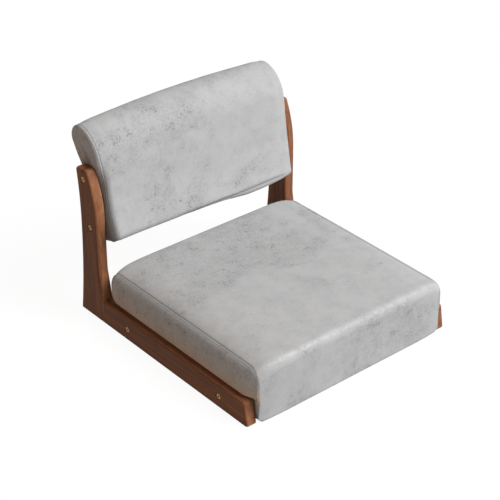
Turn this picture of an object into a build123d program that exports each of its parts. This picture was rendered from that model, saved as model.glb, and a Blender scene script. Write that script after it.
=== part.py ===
from build123d import *
import os
from math import cos, radians, sin, sqrt, tan

# A legless floor chair. Two wooden side frames, each a floor rail with a shaped upright on its
# rear end, carry a boxed seat cushion and a leaning back cushion between them. Every cushion is
# bolted through the side frames into threaded inserts in its own wooden core.
# X runs across the chair, the sitter faces -Y, Z is up, and the floor is Z = 0.
# Sizes are in millimetres.

os.makedirs("parts", exist_ok=True)

# Side frames
frame_width = 500.0
board = 24.0
rail_height = 50.0
rail_rake = 8.5
foot_depth = 79.0
flare_rise = 62.0
flare_round = 40.0
waist_depth = 52.0
waist_set = 16.0
waist_drop = 105.0
top_depth = 36.0
top_set = 8.0
corner_round = 8.0
inner_round = 10.0
edge_round = 5.0
floor_round = 2.0
dowel_diameter = 8.0
dowel_length = 50.0
dowel_inset = 15.0

# Seat cushion
seat_depth = 438.5
seat_overhang = 6.5
seat_rise = 58.0
seat_crown = 13.0
crown_power = 11.0
crown_stations = (-1.0, -0.9, -0.65, 0.0, 0.65, 0.9, 1.0)
seat_bow = 3.0
seat_swell_front = 3.5
seat_swell_rear = 4.0
seat_front_round = 18.0
seat_rear_round = 20.0
hem_round = 5.0
under_margin = 7.0
seat_rear_gap = 3.0
seam_inset = 4.0
side_overlap = 14.5
side_drop = 36.0
side_tuck = 3.0
swell_angles = (0.0, 30.0, 60.0, 90.0)
floor_gap = 5.0
front_lip = 20.5
rear_lip = 47.0
hem = 30.0
dust_thickness = 1.0
dust_overlap = 18.0

# Seat base frame
batten_width = 35.0
batten_height = 30.0
deck_thickness = 9.0

# Back cushion, drawn along and across a line that leans back through its bolts
lean_angle = 8.0
back_gap = 40.0
back_front_foam = 16.0
back_rear_pad = 7.0
back_margin = 9.0
back_foot_swell = 6.0
end_draw = 1.5
end_run = 25.0
back_foot_round = 12.0
kick_turn = 17.0
kick_start = 60.0
back_sag = 8.0
back_crown = 5.0
shoulder_rise = 36.0
shoulder_round = 64.0
shoulder_turn = 75.5
roll_round = 28.0
roll_tuck = 21.7
neck_round = 60.0

# Back core
back_batten_width = 30.0
back_batten_depth = 28.0
batten_end = 24.0
panel_thickness = 9.0
panel_over = 55.0

# Covers, fits and fasteners
cover = 2.0
fit_gap = 0.3
thread_gap = 0.05
bolt_diameter = 6.0
bolt_play = 0.6
bolt_head_diameter = 12.0
bolt_head_height = 3.0
bolt_head_round = 1.0
bolt_tip = 1.0
bolt_socket = 4.0
bolt_socket_depth = 2.0
bolt_grip = 13.0
bolt_spacing = 100.0
bolt_setback = 22.5
bolt_margin = 22.0
front_bolt_inset = 67.5
rear_bolt_inset = 25.0
counterbore_diameter = 14.0
counterbore_depth = 4.0
insert_diameter = 10.0
insert_length = 15.0
screw_diameter = 3.5
screw_head_diameter = 7.0
screw_length = 24.0
screw_head_angle = 90.0
screw_sink = 0.5
screw_play = 0.2
deck_screw_inset = 10.0
deck_screws_per_side = 4
deck_screws_per_end = 2
panel_screw_inset = 7.0
panel_screws_per_side = 3
staple_width = 10.0
staple_wire = 0.8
staple_leg = 8.0
staple_inset = 8.0
staples_per_side = 5
staples_per_end = 6

# Where the side frames put everything across the width
side_x = frame_width / 2
inner_x = side_x - board
fabric_x = inner_x - fit_gap
core_x = fabric_x - cover
seam_x = inner_x - seam_inset
swell_reach = seam_inset + side_overlap

# Heights in the seat
seat_bottom = floor_gap + dust_thickness
base_bottom = seat_bottom + cover
deck_bottom = base_bottom + batten_height
deck_top = deck_bottom + deck_thickness
seat_bolt_z = base_bottom + batten_height / 2
seam_z = rail_height + seat_rise
seat_crest = seam_z + seat_crown + seat_bow

# Depths, measured back from the lower front corner of the rails
seat_front = -seat_overhang
seat_rear = seat_front + seat_depth
rail_length = seat_rear + seat_rear_gap + foot_depth
foot_front = rail_length - foot_depth
waist_back = rail_length - waist_set
waist_front = waist_back - waist_depth
top_back = rail_length - top_set
top_front = top_back - top_depth
base_front = seat_front + front_lip
base_rear = seat_rear - rear_lip
base_depth = base_rear - base_front
base_middle = base_front + base_depth / 2
under_y = base_rear + under_margin
seat_bolt_depths = (base_front + front_bolt_inset, base_rear - rear_bolt_inset)

# The back cushion's own section: n runs across the leaning line, towards the rear, and s along it
lean = radians(lean_angle)
back_front = -(back_batten_depth / 2 + back_front_foam)
panel_front = back_batten_depth / 2
panel_rear = panel_front + panel_thickness
back_rear = panel_rear + back_rear_pad
core_foot = -batten_end
core_head = bolt_spacing + batten_end
panel_head = bolt_spacing + panel_over
back_foot = core_foot - back_margin
shoulder_s = bolt_spacing + shoulder_rise
roll_angle = 180 - shoulder_turn
roll_step = shoulder_round - roll_round
roll_n = back_front + shoulder_round + roll_step * cos(radians(roll_angle))
roll_s = shoulder_s + roll_step * sin(radians(roll_angle))

# The lower back bolt stands over the seat by the gap between the cushions
back_bolt_y = waist_front + bolt_setback
back_bolt_z = seat_crest + back_gap - back_foot * cos(lean) + back_rear * sin(lean)
back_bolt_rise = bolt_spacing * cos(lean)
back_bolt_run = bolt_spacing * sin(lean)
upright_height = back_bolt_z + back_bolt_rise + bolt_margin
waist_z = upright_height - waist_drop
flare_z = rail_height + flare_rise

# The origin lies on the floor under the middle of the whole chair
rear_reach = (
    back_bolt_y
    + (roll_n + back_sag) * cos(lean)
    + (roll_s + back_crown) * sin(lean)
    + roll_round
)
front_reach = seat_overhang + seat_swell_front
rail_front_y = (front_reach - rear_reach) / 2


def side_plane(x):
    """Upright plane across the chair: depth behind the rails' front corner, then height."""
    return Plane(origin=(x, rail_front_y, 0), x_dir=(0, 1, 0), z_dir=(1, 0, 0))


def floor_plane(z):
    """Level plane: place across the chair, then depth behind the rails' front corner."""
    return Plane(origin=(0, rail_front_y, z))


lean_dir = Vector(0, sin(lean), cos(lean))


def back_side_plane(x):
    """Upright plane across the chair in the back cushion's own n and s."""
    origin = (x, rail_front_y + back_bolt_y, back_bolt_z)
    return Plane(origin=origin, x_dir=(0, cos(lean), -sin(lean)), z_dir=(1, 0, 0))


def back_level(s):
    """Plane square to the leaning line at a height s along it: x, then n."""
    origin = Vector(0, rail_front_y + back_bolt_y, back_bolt_z) + lean_dir * s
    return Plane(origin=origin, x_dir=(1, 0, 0), z_dir=lean_dir)


def bolt_spots(side, places):
    """Places on a side frame's outer face, looking outwards; side is -1 left and 1 right."""
    return [
        Plane(
            origin=(side * side_x, rail_front_y + depth, height),
            x_dir=(0, 1, 0),
            z_dir=(side, 0, 0),
        ).location
        for depth, height in places
    ]


seat_bolt_places = [(depth, seat_bolt_z) for depth in seat_bolt_depths]
back_bolt_places = [
    (back_bolt_y, back_bolt_z),
    (back_bolt_y + back_bolt_run, back_bolt_z + back_bolt_rise),
]

# Side frame blank: rail and upright in one outline, rounded along every edge
with BuildPart() as side_blank:
    with BuildSketch(side_plane(-side_x)) as side_outline:
        with BuildLine():
            Line((0, 0), (rail_length, 0))
            TangentArc((waist_back, waist_z), (rail_length, 0), tangent=(0, -1))
            TangentArc((waist_back, waist_z), (top_back, upright_height), tangent=(0, 1))
            Line((top_back, upright_height), (top_front, upright_height))
            TangentArc((waist_front, waist_z), (top_front, upright_height), tangent=(0, 1))
            Line((waist_front, waist_z), (waist_front, flare_z))
            Line((waist_front, flare_z), (foot_front, rail_height))
            Line((foot_front, rail_height), (rail_rake, rail_height))
            Line((rail_rake, rail_height), (0, 0))
        make_face()
        corners = side_outline.vertices()
        fillet(corners.sort_by_distance((foot_front, rail_height))[0], inner_round)
        fillet(side_outline.vertices().sort_by_distance((waist_front, flare_z))[0], flare_round)
        for corner in (
            (top_back, upright_height),
            (top_front, upright_height),
            (rail_rake, rail_height),
        ):
            fillet(side_outline.vertices().sort_by_distance(corner)[0], corner_round)
    extrude(amount=board)
    face_edges = side_blank.faces().filter_by(Axis.X).edges()
    fillet(face_edges - face_edges.group_by(Axis.Z)[0], edge_round)
    fillet(side_blank.faces().sort_by(Axis.Z)[0].edges(), floor_round)

# The rail butts against the upright's foot, held by two dowels across the joint
joint_plane = Plane(origin=(0, rail_front_y + foot_front, 0), z_dir=(0, -1, 0))
dowel_x = -side_x + board / 2
dowel_places = [(dowel_x, dowel_inset), (dowel_x, rail_height - dowel_inset)]
dowel_spots = [
    Plane(origin=(x, rail_front_y + foot_front, z), z_dir=(0, 1, 0)).location for x, z in dowel_places
]
dowel_mouths = [
    Plane(origin=(x, rail_front_y + foot_front, z), z_dir=(0, -1, 0)).location for x, z in dowel_places
]
dowel_hole_radius = dowel_diameter / 2 + thread_gap
dowel_hole_depth = dowel_length / 2 + fit_gap

with BuildPart() as left_rail:
    add(side_blank.part)
    split(bisect_by=joint_plane, keep=Keep.TOP)
    with Locations(*bolt_spots(-1, seat_bolt_places)):
        CounterBoreHole(
            (bolt_diameter + bolt_play) / 2, counterbore_diameter / 2, counterbore_depth, board
        )
    with Locations(*dowel_spots):
        Hole(dowel_hole_radius, dowel_hole_depth)

with BuildPart() as left_upright:
    add(side_blank.part)
    split(bisect_by=joint_plane, keep=Keep.BOTTOM)
    with Locations(*bolt_spots(-1, back_bolt_places)):
        CounterBoreHole(
            (bolt_diameter + bolt_play) / 2, counterbore_diameter / 2, counterbore_depth, board
        )
    with Locations(*dowel_mouths):
        Hole(dowel_hole_radius, dowel_hole_depth)

with BuildPart() as left_rail_dowels:
    with Locations(*dowel_spots):
        Cylinder(dowel_diameter / 2, dowel_length)

with BuildPart() as right_rail:
    mirror(left_rail.part, about=Plane.YZ)

with BuildPart() as right_upright:
    mirror(left_upright.part, about=Plane.YZ)

with BuildPart() as right_rail_dowels:
    mirror(left_rail_dowels.part, about=Plane.YZ)

# One bolt and one threaded insert, drawn inwards from a side frame's outer face
with BuildPart() as bolt:
    with BuildSketch(Plane.XY.offset(-counterbore_depth)):
        Circle(bolt_head_diameter / 2)
    extrude(amount=bolt_head_height)
    fillet(bolt.edges().sort_by(Axis.Z)[-1], bolt_head_round)
    with BuildSketch(bolt.faces().sort_by(Axis.Z)[-1]):
        RegularPolygon(bolt_socket / 2, 6, major_radius=False)
    extrude(amount=-bolt_socket_depth, mode=Mode.SUBTRACT)
    with BuildSketch(Plane.XY.offset(-counterbore_depth)):
        Circle(bolt_diameter / 2)
    extrude(amount=-(board - counterbore_depth + fit_gap + cover + bolt_grip))
    chamfer(bolt.edges().sort_by(Axis.Z)[0], bolt_tip)

with BuildPart() as insert:
    with BuildSketch(Plane.XY.offset(core_x - side_x)):
        Circle(insert_diameter / 2)
        Circle(bolt_diameter / 2 + thread_gap, mode=Mode.SUBTRACT)
    extrude(amount=-insert_length)

insert_hole_radius = insert_diameter / 2 + thread_gap
insert_hole_depth = side_x - core_x + insert_length + fit_gap
seat_spots = bolt_spots(-1, seat_bolt_places) + bolt_spots(1, seat_bolt_places)
back_spots = bolt_spots(-1, back_bolt_places) + bolt_spots(1, back_bolt_places)

with BuildPart() as seat_bolts:
    with Locations(*seat_spots):
        add(bolt.part)

with BuildPart() as seat_inserts:
    with Locations(*seat_spots):
        add(insert.part)

with BuildPart() as back_bolts:
    with Locations(*back_spots):
        add(bolt.part)

with BuildPart() as back_inserts:
    with Locations(*back_spots):
        add(insert.part)

# One countersunk wood screw, its head level with the origin
with BuildPart() as screw:
    with BuildSketch(Plane.XZ):
        with BuildLine():
            head_rim = (screw_head_diameter - screw_diameter) / 2
            head_depth = head_rim / tan(radians(screw_head_angle / 2))
            Polyline(
                (0, 0),
                (screw_head_diameter / 2, 0),
                (screw_diameter / 2, -head_depth),
                (screw_diameter / 2, -screw_length + screw_diameter),
                (0, -screw_length),
                (0, 0),
            )
        make_face()
    revolve(axis=Axis.Z)

screw_hole_radius = (screw_diameter + screw_play) / 2
screw_sink_radius = (screw_head_diameter + screw_play) / 2
screw_hole_depth = screw_length + screw_play


def spread(low, high, count):
    """Evenly spaced places between two ends, each half a step in from its end."""
    step = (high - low) / count
    return [low + step * (i + 0.5) for i in range(count)]


# Seat base: four battens under a plywood deck
side_batten_x = core_x - batten_width / 2
end_batten_x = core_x - batten_width
deck_screw_x = end_batten_x + deck_screw_inset
deck_screw_places = [
    (side * deck_screw_x, y)
    for side in (-1, 1)
    for y in spread(base_front + batten_width, base_rear - batten_width, deck_screws_per_side)
]
deck_screw_places += [
    (x, y)
    for y in (base_front + batten_width / 2, base_rear - batten_width / 2)
    for x in spread(-end_batten_x, end_batten_x, deck_screws_per_end)
]
deck_screw_spots = [
    Location((x, rail_front_y + y, deck_top - screw_sink)) for x, y in deck_screw_places
]

# Staples run round the dust cover, through the cover's hem and into the battens
window_x = core_x - hem
window_front = base_front + hem
window_rear = base_rear - hem
dust_x = window_x + dust_overlap
dust_front = window_front - dust_overlap
dust_rear = window_rear + dust_overlap
staple_x = dust_x - staple_inset
staple_front = dust_front + staple_inset
staple_rear = dust_rear - staple_inset
staple_spots = [
    Location((x, rail_front_y + y, floor_gap), (0, 0, 0))
    for y in (staple_front, staple_rear)
    for x in spread(-window_x, window_x, staples_per_end)
]
staple_spots += [
    Location((side * staple_x, rail_front_y + y, floor_gap), (0, 0, 90))
    for side in (-1, 1)
    for y in spread(window_front, window_rear, staples_per_side)
]

with BuildPart() as staple:
    Box(staple_width, staple_wire, staple_wire, align=(Align.CENTER, Align.CENTER, Align.MAX))
    with GridLocations(staple_width - staple_wire, 0, 2, 1):
        Box(staple_wire, staple_wire, staple_leg, align=(Align.CENTER, Align.CENTER, Align.MIN))

with BuildPart() as seat_staples:
    with Locations(*staple_spots):
        add(staple.part)

with BuildPart() as seat_deck_screws:
    with Locations(*deck_screw_spots):
        add(screw.part)

with BuildPart() as seat_left_batten:
    with BuildSketch(floor_plane(base_bottom)):
        with Locations((-side_batten_x, base_middle)):
            Rectangle(batten_width, base_depth)
    extrude(amount=batten_height)
    with Locations(*seat_spots):
        Hole(insert_hole_radius, insert_hole_depth)
    with Locations(*deck_screw_spots):
        Hole(screw_hole_radius, screw_hole_depth)
    add(seat_staples.part, mode=Mode.SUBTRACT)

with BuildPart() as seat_right_batten:
    mirror(seat_left_batten.part, about=Plane.YZ)

with BuildPart() as seat_front_batten:
    with BuildSketch(floor_plane(base_bottom)):
        with Locations((0, base_front + batten_width / 2)):
            Rectangle(2 * end_batten_x, batten_width)
    extrude(amount=batten_height)
    with Locations(*deck_screw_spots):
        Hole(screw_hole_radius, screw_hole_depth)
    add(seat_staples.part, mode=Mode.SUBTRACT)

with BuildPart() as seat_rear_batten:
    with BuildSketch(floor_plane(base_bottom)):
        with Locations((0, base_rear - batten_width / 2)):
            Rectangle(2 * end_batten_x, batten_width)
    extrude(amount=batten_height)
    with Locations(*deck_screw_spots):
        Hole(screw_hole_radius, screw_hole_depth)
    add(seat_staples.part, mode=Mode.SUBTRACT)

with BuildPart() as seat_deck:
    with BuildSketch(floor_plane(deck_bottom)):
        with Locations((0, base_middle)):
            Rectangle(2 * core_x, base_depth)
    extrude(amount=deck_thickness)
    with Locations(*deck_screw_spots):
        CounterSinkHole(screw_hole_radius, screw_sink_radius, deck_thickness, screw_head_angle)


def seat_section(x, front, rear, top, inset):
    """Seat outline at one place across the width, drawn in by the inset."""
    front_z = top - seat_front_round
    rear_z = top - seat_rear_round
    front_top = (front + seat_front_round, top)
    rear_top = (rear - seat_rear_round, top)
    with BuildSketch(side_plane(x)) as section:
        with BuildLine():
            Line((front + hem_round, seat_bottom), (under_y, seat_bottom))
            TangentArc((rear, rear_z), (under_y, seat_bottom), tangent=(0, -1))
            TangentArc((rear, rear_z), rear_top, tangent=(0, 1))
            ThreePointArc(rear_top, ((front + rear) / 2, top + seat_bow), front_top)
            TangentArc((front, front_z), front_top, tangent=(0, 1))
            Line((front, front_z), (front, seat_bottom + hem_round))
            TangentArc(
                (front, seat_bottom + hem_round), (front + hem_round, seat_bottom), tangent=(0, -1)
            )
        make_face()
        if inset:
            offset(amount=-inset)
    return section.sketch


def seat_middle(inset):
    """Crowned body of the seat between its two side seams."""
    stations = []
    for station in crown_stations:
        share = 1 - abs(station) ** crown_power
        front = seat_front - seat_swell_front * share
        rear = seat_rear + seat_swell_rear * share
        top = seam_z + seat_crown * share
        stations.append(seat_section(station * seam_x, front, rear, top, inset))
    with BuildPart() as middle:
        loft(sections=stations)
    return middle.part


def seat_side(inset):
    """Right side of the seat, swelling from its seam out over the rail and stepped in below it."""
    stations = []
    for angle in swell_angles:
        reach = (swell_reach - inset) * sin(radians(angle))
        share = 1 - cos(radians(angle))
        tuck = side_tuck * share
        top = seam_z - side_drop * share
        stations.append(
            seat_section(seam_x + reach, seat_front + tuck, seat_rear - tuck, top, inset)
        )
    with BuildPart() as swell:
        loft(sections=stations)
        with BuildSketch(side_plane(fabric_x - inset)):
            with Locations((seat_depth / 2, 0)):
                Rectangle(2 * seat_depth, 2 * (rail_height + fit_gap + inset))
        extrude(amount=board, mode=Mode.SUBTRACT)
    return swell.part


bolt_hole_depth = side_x - core_x + insert_length

with BuildPart() as seat_cover_wrap:
    add(seat_middle(0))
    add(seat_middle(cover), mode=Mode.SUBTRACT)
    with BuildSketch(floor_plane(seat_bottom)):
        with Locations((0, (window_front + window_rear) / 2)):
            Rectangle(2 * window_x, window_rear - window_front)
    extrude(amount=cover, mode=Mode.SUBTRACT)
    add(seat_staples.part, mode=Mode.SUBTRACT)

with BuildPart() as seat_cover_right_side:
    add(seat_side(0))
    add(seat_side(cover), mode=Mode.SUBTRACT)
    with Locations(*seat_spots):
        Hole((bolt_diameter + bolt_play) / 2, bolt_hole_depth)

with BuildPart() as seat_cover_left_side:
    mirror(seat_cover_right_side.part, about=Plane.YZ)

foam_inset = cover + fit_gap
seat_foam_side = seat_side(foam_inset)

with BuildPart() as seat_foam:
    add(seat_middle(foam_inset))
    add(seat_foam_side)
    mirror(seat_foam_side, about=Plane.YZ)
    with BuildSketch(floor_plane(0)):
        with Locations((0, base_middle)):
            Rectangle(2 * core_x, base_depth)
    extrude(amount=deck_top, mode=Mode.SUBTRACT)

with BuildPart() as seat_dust_cover:
    with BuildSketch(floor_plane(floor_gap)):
        with Locations((0, (dust_front + dust_rear) / 2)):
            Rectangle(2 * dust_x, dust_rear - dust_front)
    extrude(amount=dust_thickness)
    add(seat_staples.part, mode=Mode.SUBTRACT)


def back_section(x, share, inset):
    """Back outline at one place across: front curving out to its foot, rolled top, necked rear."""
    shift = back_sag * share
    rise = back_crown * share
    foot = back_foot - back_foot_swell * share
    tuck = radians(roll_tuck)
    shoulder = (back_front + shoulder_round + shift, shoulder_s + rise)
    roll = (roll_n + shift, roll_s + rise)
    rear = back_rear + shift
    roll_edge = roll[0] * cos(tuck) - roll[1] * sin(tuck) + roll_round
    neck_n = rear + neck_round
    neck = (neck_n, (neck_n * cos(tuck) - neck_round - roll_edge) / sin(tuck))
    foot_s = foot + back_foot_round
    front = back_front + shift
    kick = radians(kick_turn)
    kick_radius = (kick_start - foot_s) / sin(kick) - back_foot_round
    toe_n = front - kick_radius + (kick_radius + back_foot_round) * cos(kick)
    with BuildSketch(back_side_plane(x)) as section:
        with BuildLine():
            Line((front, kick_start), (front, shoulder[1]))
            CenterArc((front - kick_radius, kick_start), kick_radius, -kick_turn, kick_turn)
            CenterArc(shoulder, shoulder_round, roll_angle, shoulder_turn)
            top = CenterArc(roll, roll_round, -roll_tuck, roll_angle + roll_tuck)
            hollow = CenterArc(neck, neck_round, 180 - roll_tuck, roll_tuck)
            Line(top @ 0, hollow @ 0)
            Line(hollow @ 1, (rear, foot_s))
            CenterArc((rear - back_foot_round, foot_s), back_foot_round, -90, 90)
            Line((rear - back_foot_round, foot), (toe_n, foot))
            CenterArc((toe_n, foot_s), back_foot_round, 180 - kick_turn, 90 + kick_turn)
        make_face()
        if inset:
            offset(amount=-inset)
    return section.sketch


def back_body(inset):
    """Back cushion, crowned along its top and bowed to the rear at mid width."""
    end_x = core_x if inset <= cover else core_x - fit_gap
    full_x = core_x - end_run
    full_share = 1 - (full_x / core_x) ** 2
    with BuildPart() as body:
        loft(
            sections=[
                back_section(-end_x, 0, inset + end_draw),
                back_section(-full_x, full_share, inset),
                back_section(0, 1, inset),
                back_section(full_x, full_share, inset),
                back_section(end_x, 0, inset + end_draw),
            ]
        )
    return body.part


def bowed_strip(front, rear, s):
    """Plan section of the bent panel between two depths at its ends, at a height s."""
    with BuildSketch(back_level(s)) as strip:
        with BuildLine():
            near = ThreePointArc((-core_x, front), (0, front + back_sag), (core_x, front))
            far = ThreePointArc((-core_x, rear), (0, rear + back_sag), (core_x, rear))
            Line(near @ 0, far @ 0)
            Line(near @ 1, far @ 1)
        make_face()
    return strip.sketch


# Bent plywood panel with a batten glued and screwed to its front at each end
panel_radius = (core_x**2 + back_sag**2) / (2 * back_sag)
back_batten_x = core_x - back_batten_width / 2
panel_screw_x = core_x - back_batten_width + panel_screw_inset
panel_bow = sqrt(panel_radius**2 - panel_screw_x**2) - sqrt(panel_radius**2 - core_x**2)
panel_screw_n = panel_rear + panel_bow - screw_sink
panel_screw_spots = []
for s in spread(core_foot, core_head, panel_screws_per_side):
    level = back_level(s)
    for x in (-panel_screw_x, panel_screw_x):
        head = level.from_local_coords((x, panel_screw_n, 0))
        panel_screw_spots.append(Plane(origin=head, x_dir=(1, 0, 0), z_dir=level.y_dir).location)

with BuildPart() as panel_blank:
    panel_strip = bowed_strip(panel_front, panel_rear, core_foot)
    extrude(panel_strip, amount=panel_head - core_foot, dir=lean_dir)

with BuildPart() as back_panel:
    add(panel_blank.part)
    with Locations(*panel_screw_spots):
        CounterSinkHole(screw_hole_radius, screw_sink_radius, screw_hole_depth, screw_head_angle)

with BuildPart() as back_panel_screws:
    with Locations(*panel_screw_spots):
        add(screw.part)

with BuildPart() as batten_blank:
    with BuildSketch(back_level(core_foot)):
        with Locations((-back_batten_x, (panel_rear - panel_front) / 2)):
            Rectangle(back_batten_width, panel_rear + panel_front)
    extrude(amount=core_head - core_foot)
    panel_room = bowed_strip(panel_front, 2 * panel_rear, core_foot)
    extrude(panel_room, amount=core_head - core_foot, dir=lean_dir, mode=Mode.SUBTRACT)

with BuildPart() as back_left_batten:
    add(batten_blank.part)
    with Locations(*back_spots):
        Hole(insert_hole_radius, insert_hole_depth)
    with Locations(*panel_screw_spots):
        Hole(screw_hole_radius, screw_hole_depth)

with BuildPart() as back_right_batten:
    mirror(back_left_batten.part, about=Plane.YZ)

# Padding before and behind the panel, divided along the panel's rear face
with BuildPart() as behind_panel:
    room_foot = back_foot - back_foot_swell
    rear_room = bowed_strip(panel_rear, panel_rear + 4 * roll_round, room_foot)
    extrude(rear_room, amount=panel_head + shoulder_round - room_foot, dir=lean_dir)

back_padding = back_body(foam_inset)

with BuildPart() as back_front_foam_pad:
    add(back_padding)
    add(behind_panel.part, mode=Mode.SUBTRACT)
    add(panel_blank.part, mode=Mode.SUBTRACT)
    add(batten_blank.part, mode=Mode.SUBTRACT)
    mirror(batten_blank.part, about=Plane.YZ, mode=Mode.SUBTRACT)

with BuildPart() as back_rear_foam_pad:
    add(back_padding)
    add(behind_panel.part, mode=Mode.INTERSECT)

with BuildPart() as back_cover_wrap:
    add(back_body(0))
    add(back_body(cover), mode=Mode.SUBTRACT)

with BuildPart() as back_cover_right_end:
    extrude(back_section(core_x, 0, end_draw), amount=cover, dir=(1, 0, 0))
    with Locations(*back_spots):
        Hole((bolt_diameter + bolt_play) / 2, bolt_hole_depth)

with BuildPart() as back_cover_left_end:
    mirror(back_cover_right_end.part, about=Plane.YZ)

pieces = {
    "left_rail": left_rail,
    "left_upright": left_upright,
    "left_rail_dowels": left_rail_dowels,
    "right_rail": right_rail,
    "right_upright": right_upright,
    "right_rail_dowels": right_rail_dowels,
    "seat_front_batten": seat_front_batten,
    "seat_rear_batten": seat_rear_batten,
    "seat_left_batten": seat_left_batten,
    "seat_right_batten": seat_right_batten,
    "seat_deck": seat_deck,
    "seat_deck_screws": seat_deck_screws,
    "seat_foam": seat_foam,
    "seat_cover_wrap": seat_cover_wrap,
    "seat_cover_left_side": seat_cover_left_side,
    "seat_cover_right_side": seat_cover_right_side,
    "seat_dust_cover": seat_dust_cover,
    "seat_staples": seat_staples,
    "seat_inserts": seat_inserts,
    "seat_bolts": seat_bolts,
    "back_panel": back_panel,
    "back_left_batten": back_left_batten,
    "back_right_batten": back_right_batten,
    "back_panel_screws": back_panel_screws,
    "back_front_foam": back_front_foam_pad,
    "back_rear_foam": back_rear_foam_pad,
    "back_cover_wrap": back_cover_wrap,
    "back_cover_left_end": back_cover_left_end,
    "back_cover_right_end": back_cover_right_end,
    "back_inserts": back_inserts,
    "back_bolts": back_bolts,
}

for name, piece in pieces.items():
    piece.part.label = name
    export_step(piece.part, f"parts/{name}.step")
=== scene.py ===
"""Looks of a legless floor chair: sewn cushions, walnut side frames and brass bolts."""

import logging
import math
from dataclasses import dataclass
from enum import Enum

import bpy
import numpy as np
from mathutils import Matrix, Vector


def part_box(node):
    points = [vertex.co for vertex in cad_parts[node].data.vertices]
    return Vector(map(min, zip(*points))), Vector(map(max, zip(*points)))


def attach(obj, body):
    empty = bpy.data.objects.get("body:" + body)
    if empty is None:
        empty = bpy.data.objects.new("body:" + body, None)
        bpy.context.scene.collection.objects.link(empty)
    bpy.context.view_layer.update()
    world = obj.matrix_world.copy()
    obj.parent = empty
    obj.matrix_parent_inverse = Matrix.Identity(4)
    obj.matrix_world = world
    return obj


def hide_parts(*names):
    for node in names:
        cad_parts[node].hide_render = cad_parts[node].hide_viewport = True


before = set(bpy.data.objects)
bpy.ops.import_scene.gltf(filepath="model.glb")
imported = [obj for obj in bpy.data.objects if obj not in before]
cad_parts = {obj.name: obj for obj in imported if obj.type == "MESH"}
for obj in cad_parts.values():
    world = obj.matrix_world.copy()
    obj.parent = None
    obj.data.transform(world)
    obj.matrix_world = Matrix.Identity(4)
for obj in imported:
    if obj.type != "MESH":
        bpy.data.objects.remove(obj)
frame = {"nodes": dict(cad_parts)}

log = logging.getLogger("floor_chair")

Colour = tuple[float, float, float, float]
Stops = list[tuple[float, Colour]]
Socket = bpy.types.NodeSocket
BODY = "root"
WHITE: Colour = (1.0, 1.0, 1.0, 1.0)


def srgb(red: float, green: float, blue: float) -> Colour:
    """Turn an 8-bit screen colour into a linear one.

    Args:
        red: Red from 0 to 255.
        green: Green from 0 to 255.
        blue: Blue from 0 to 255.

    Returns:
        The linear colour with full alpha.
    """
    shares = [value / 255 for value in (red, green, blue)]
    linear = [c / 12.92 if c <= 0.04045 else ((c + 0.055) / 1.055) ** 2.4 for c in shares]
    return (linear[0], linear[1], linear[2], 1.0)


def smooth_step(low: float, high: float, value: np.ndarray) -> np.ndarray:
    """Rise smoothly from 0 at low to 1 at high."""
    share = np.clip((value - low) / (high - low), 0.0, 1.0)
    return share * share * (3 - 2 * share)


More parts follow.
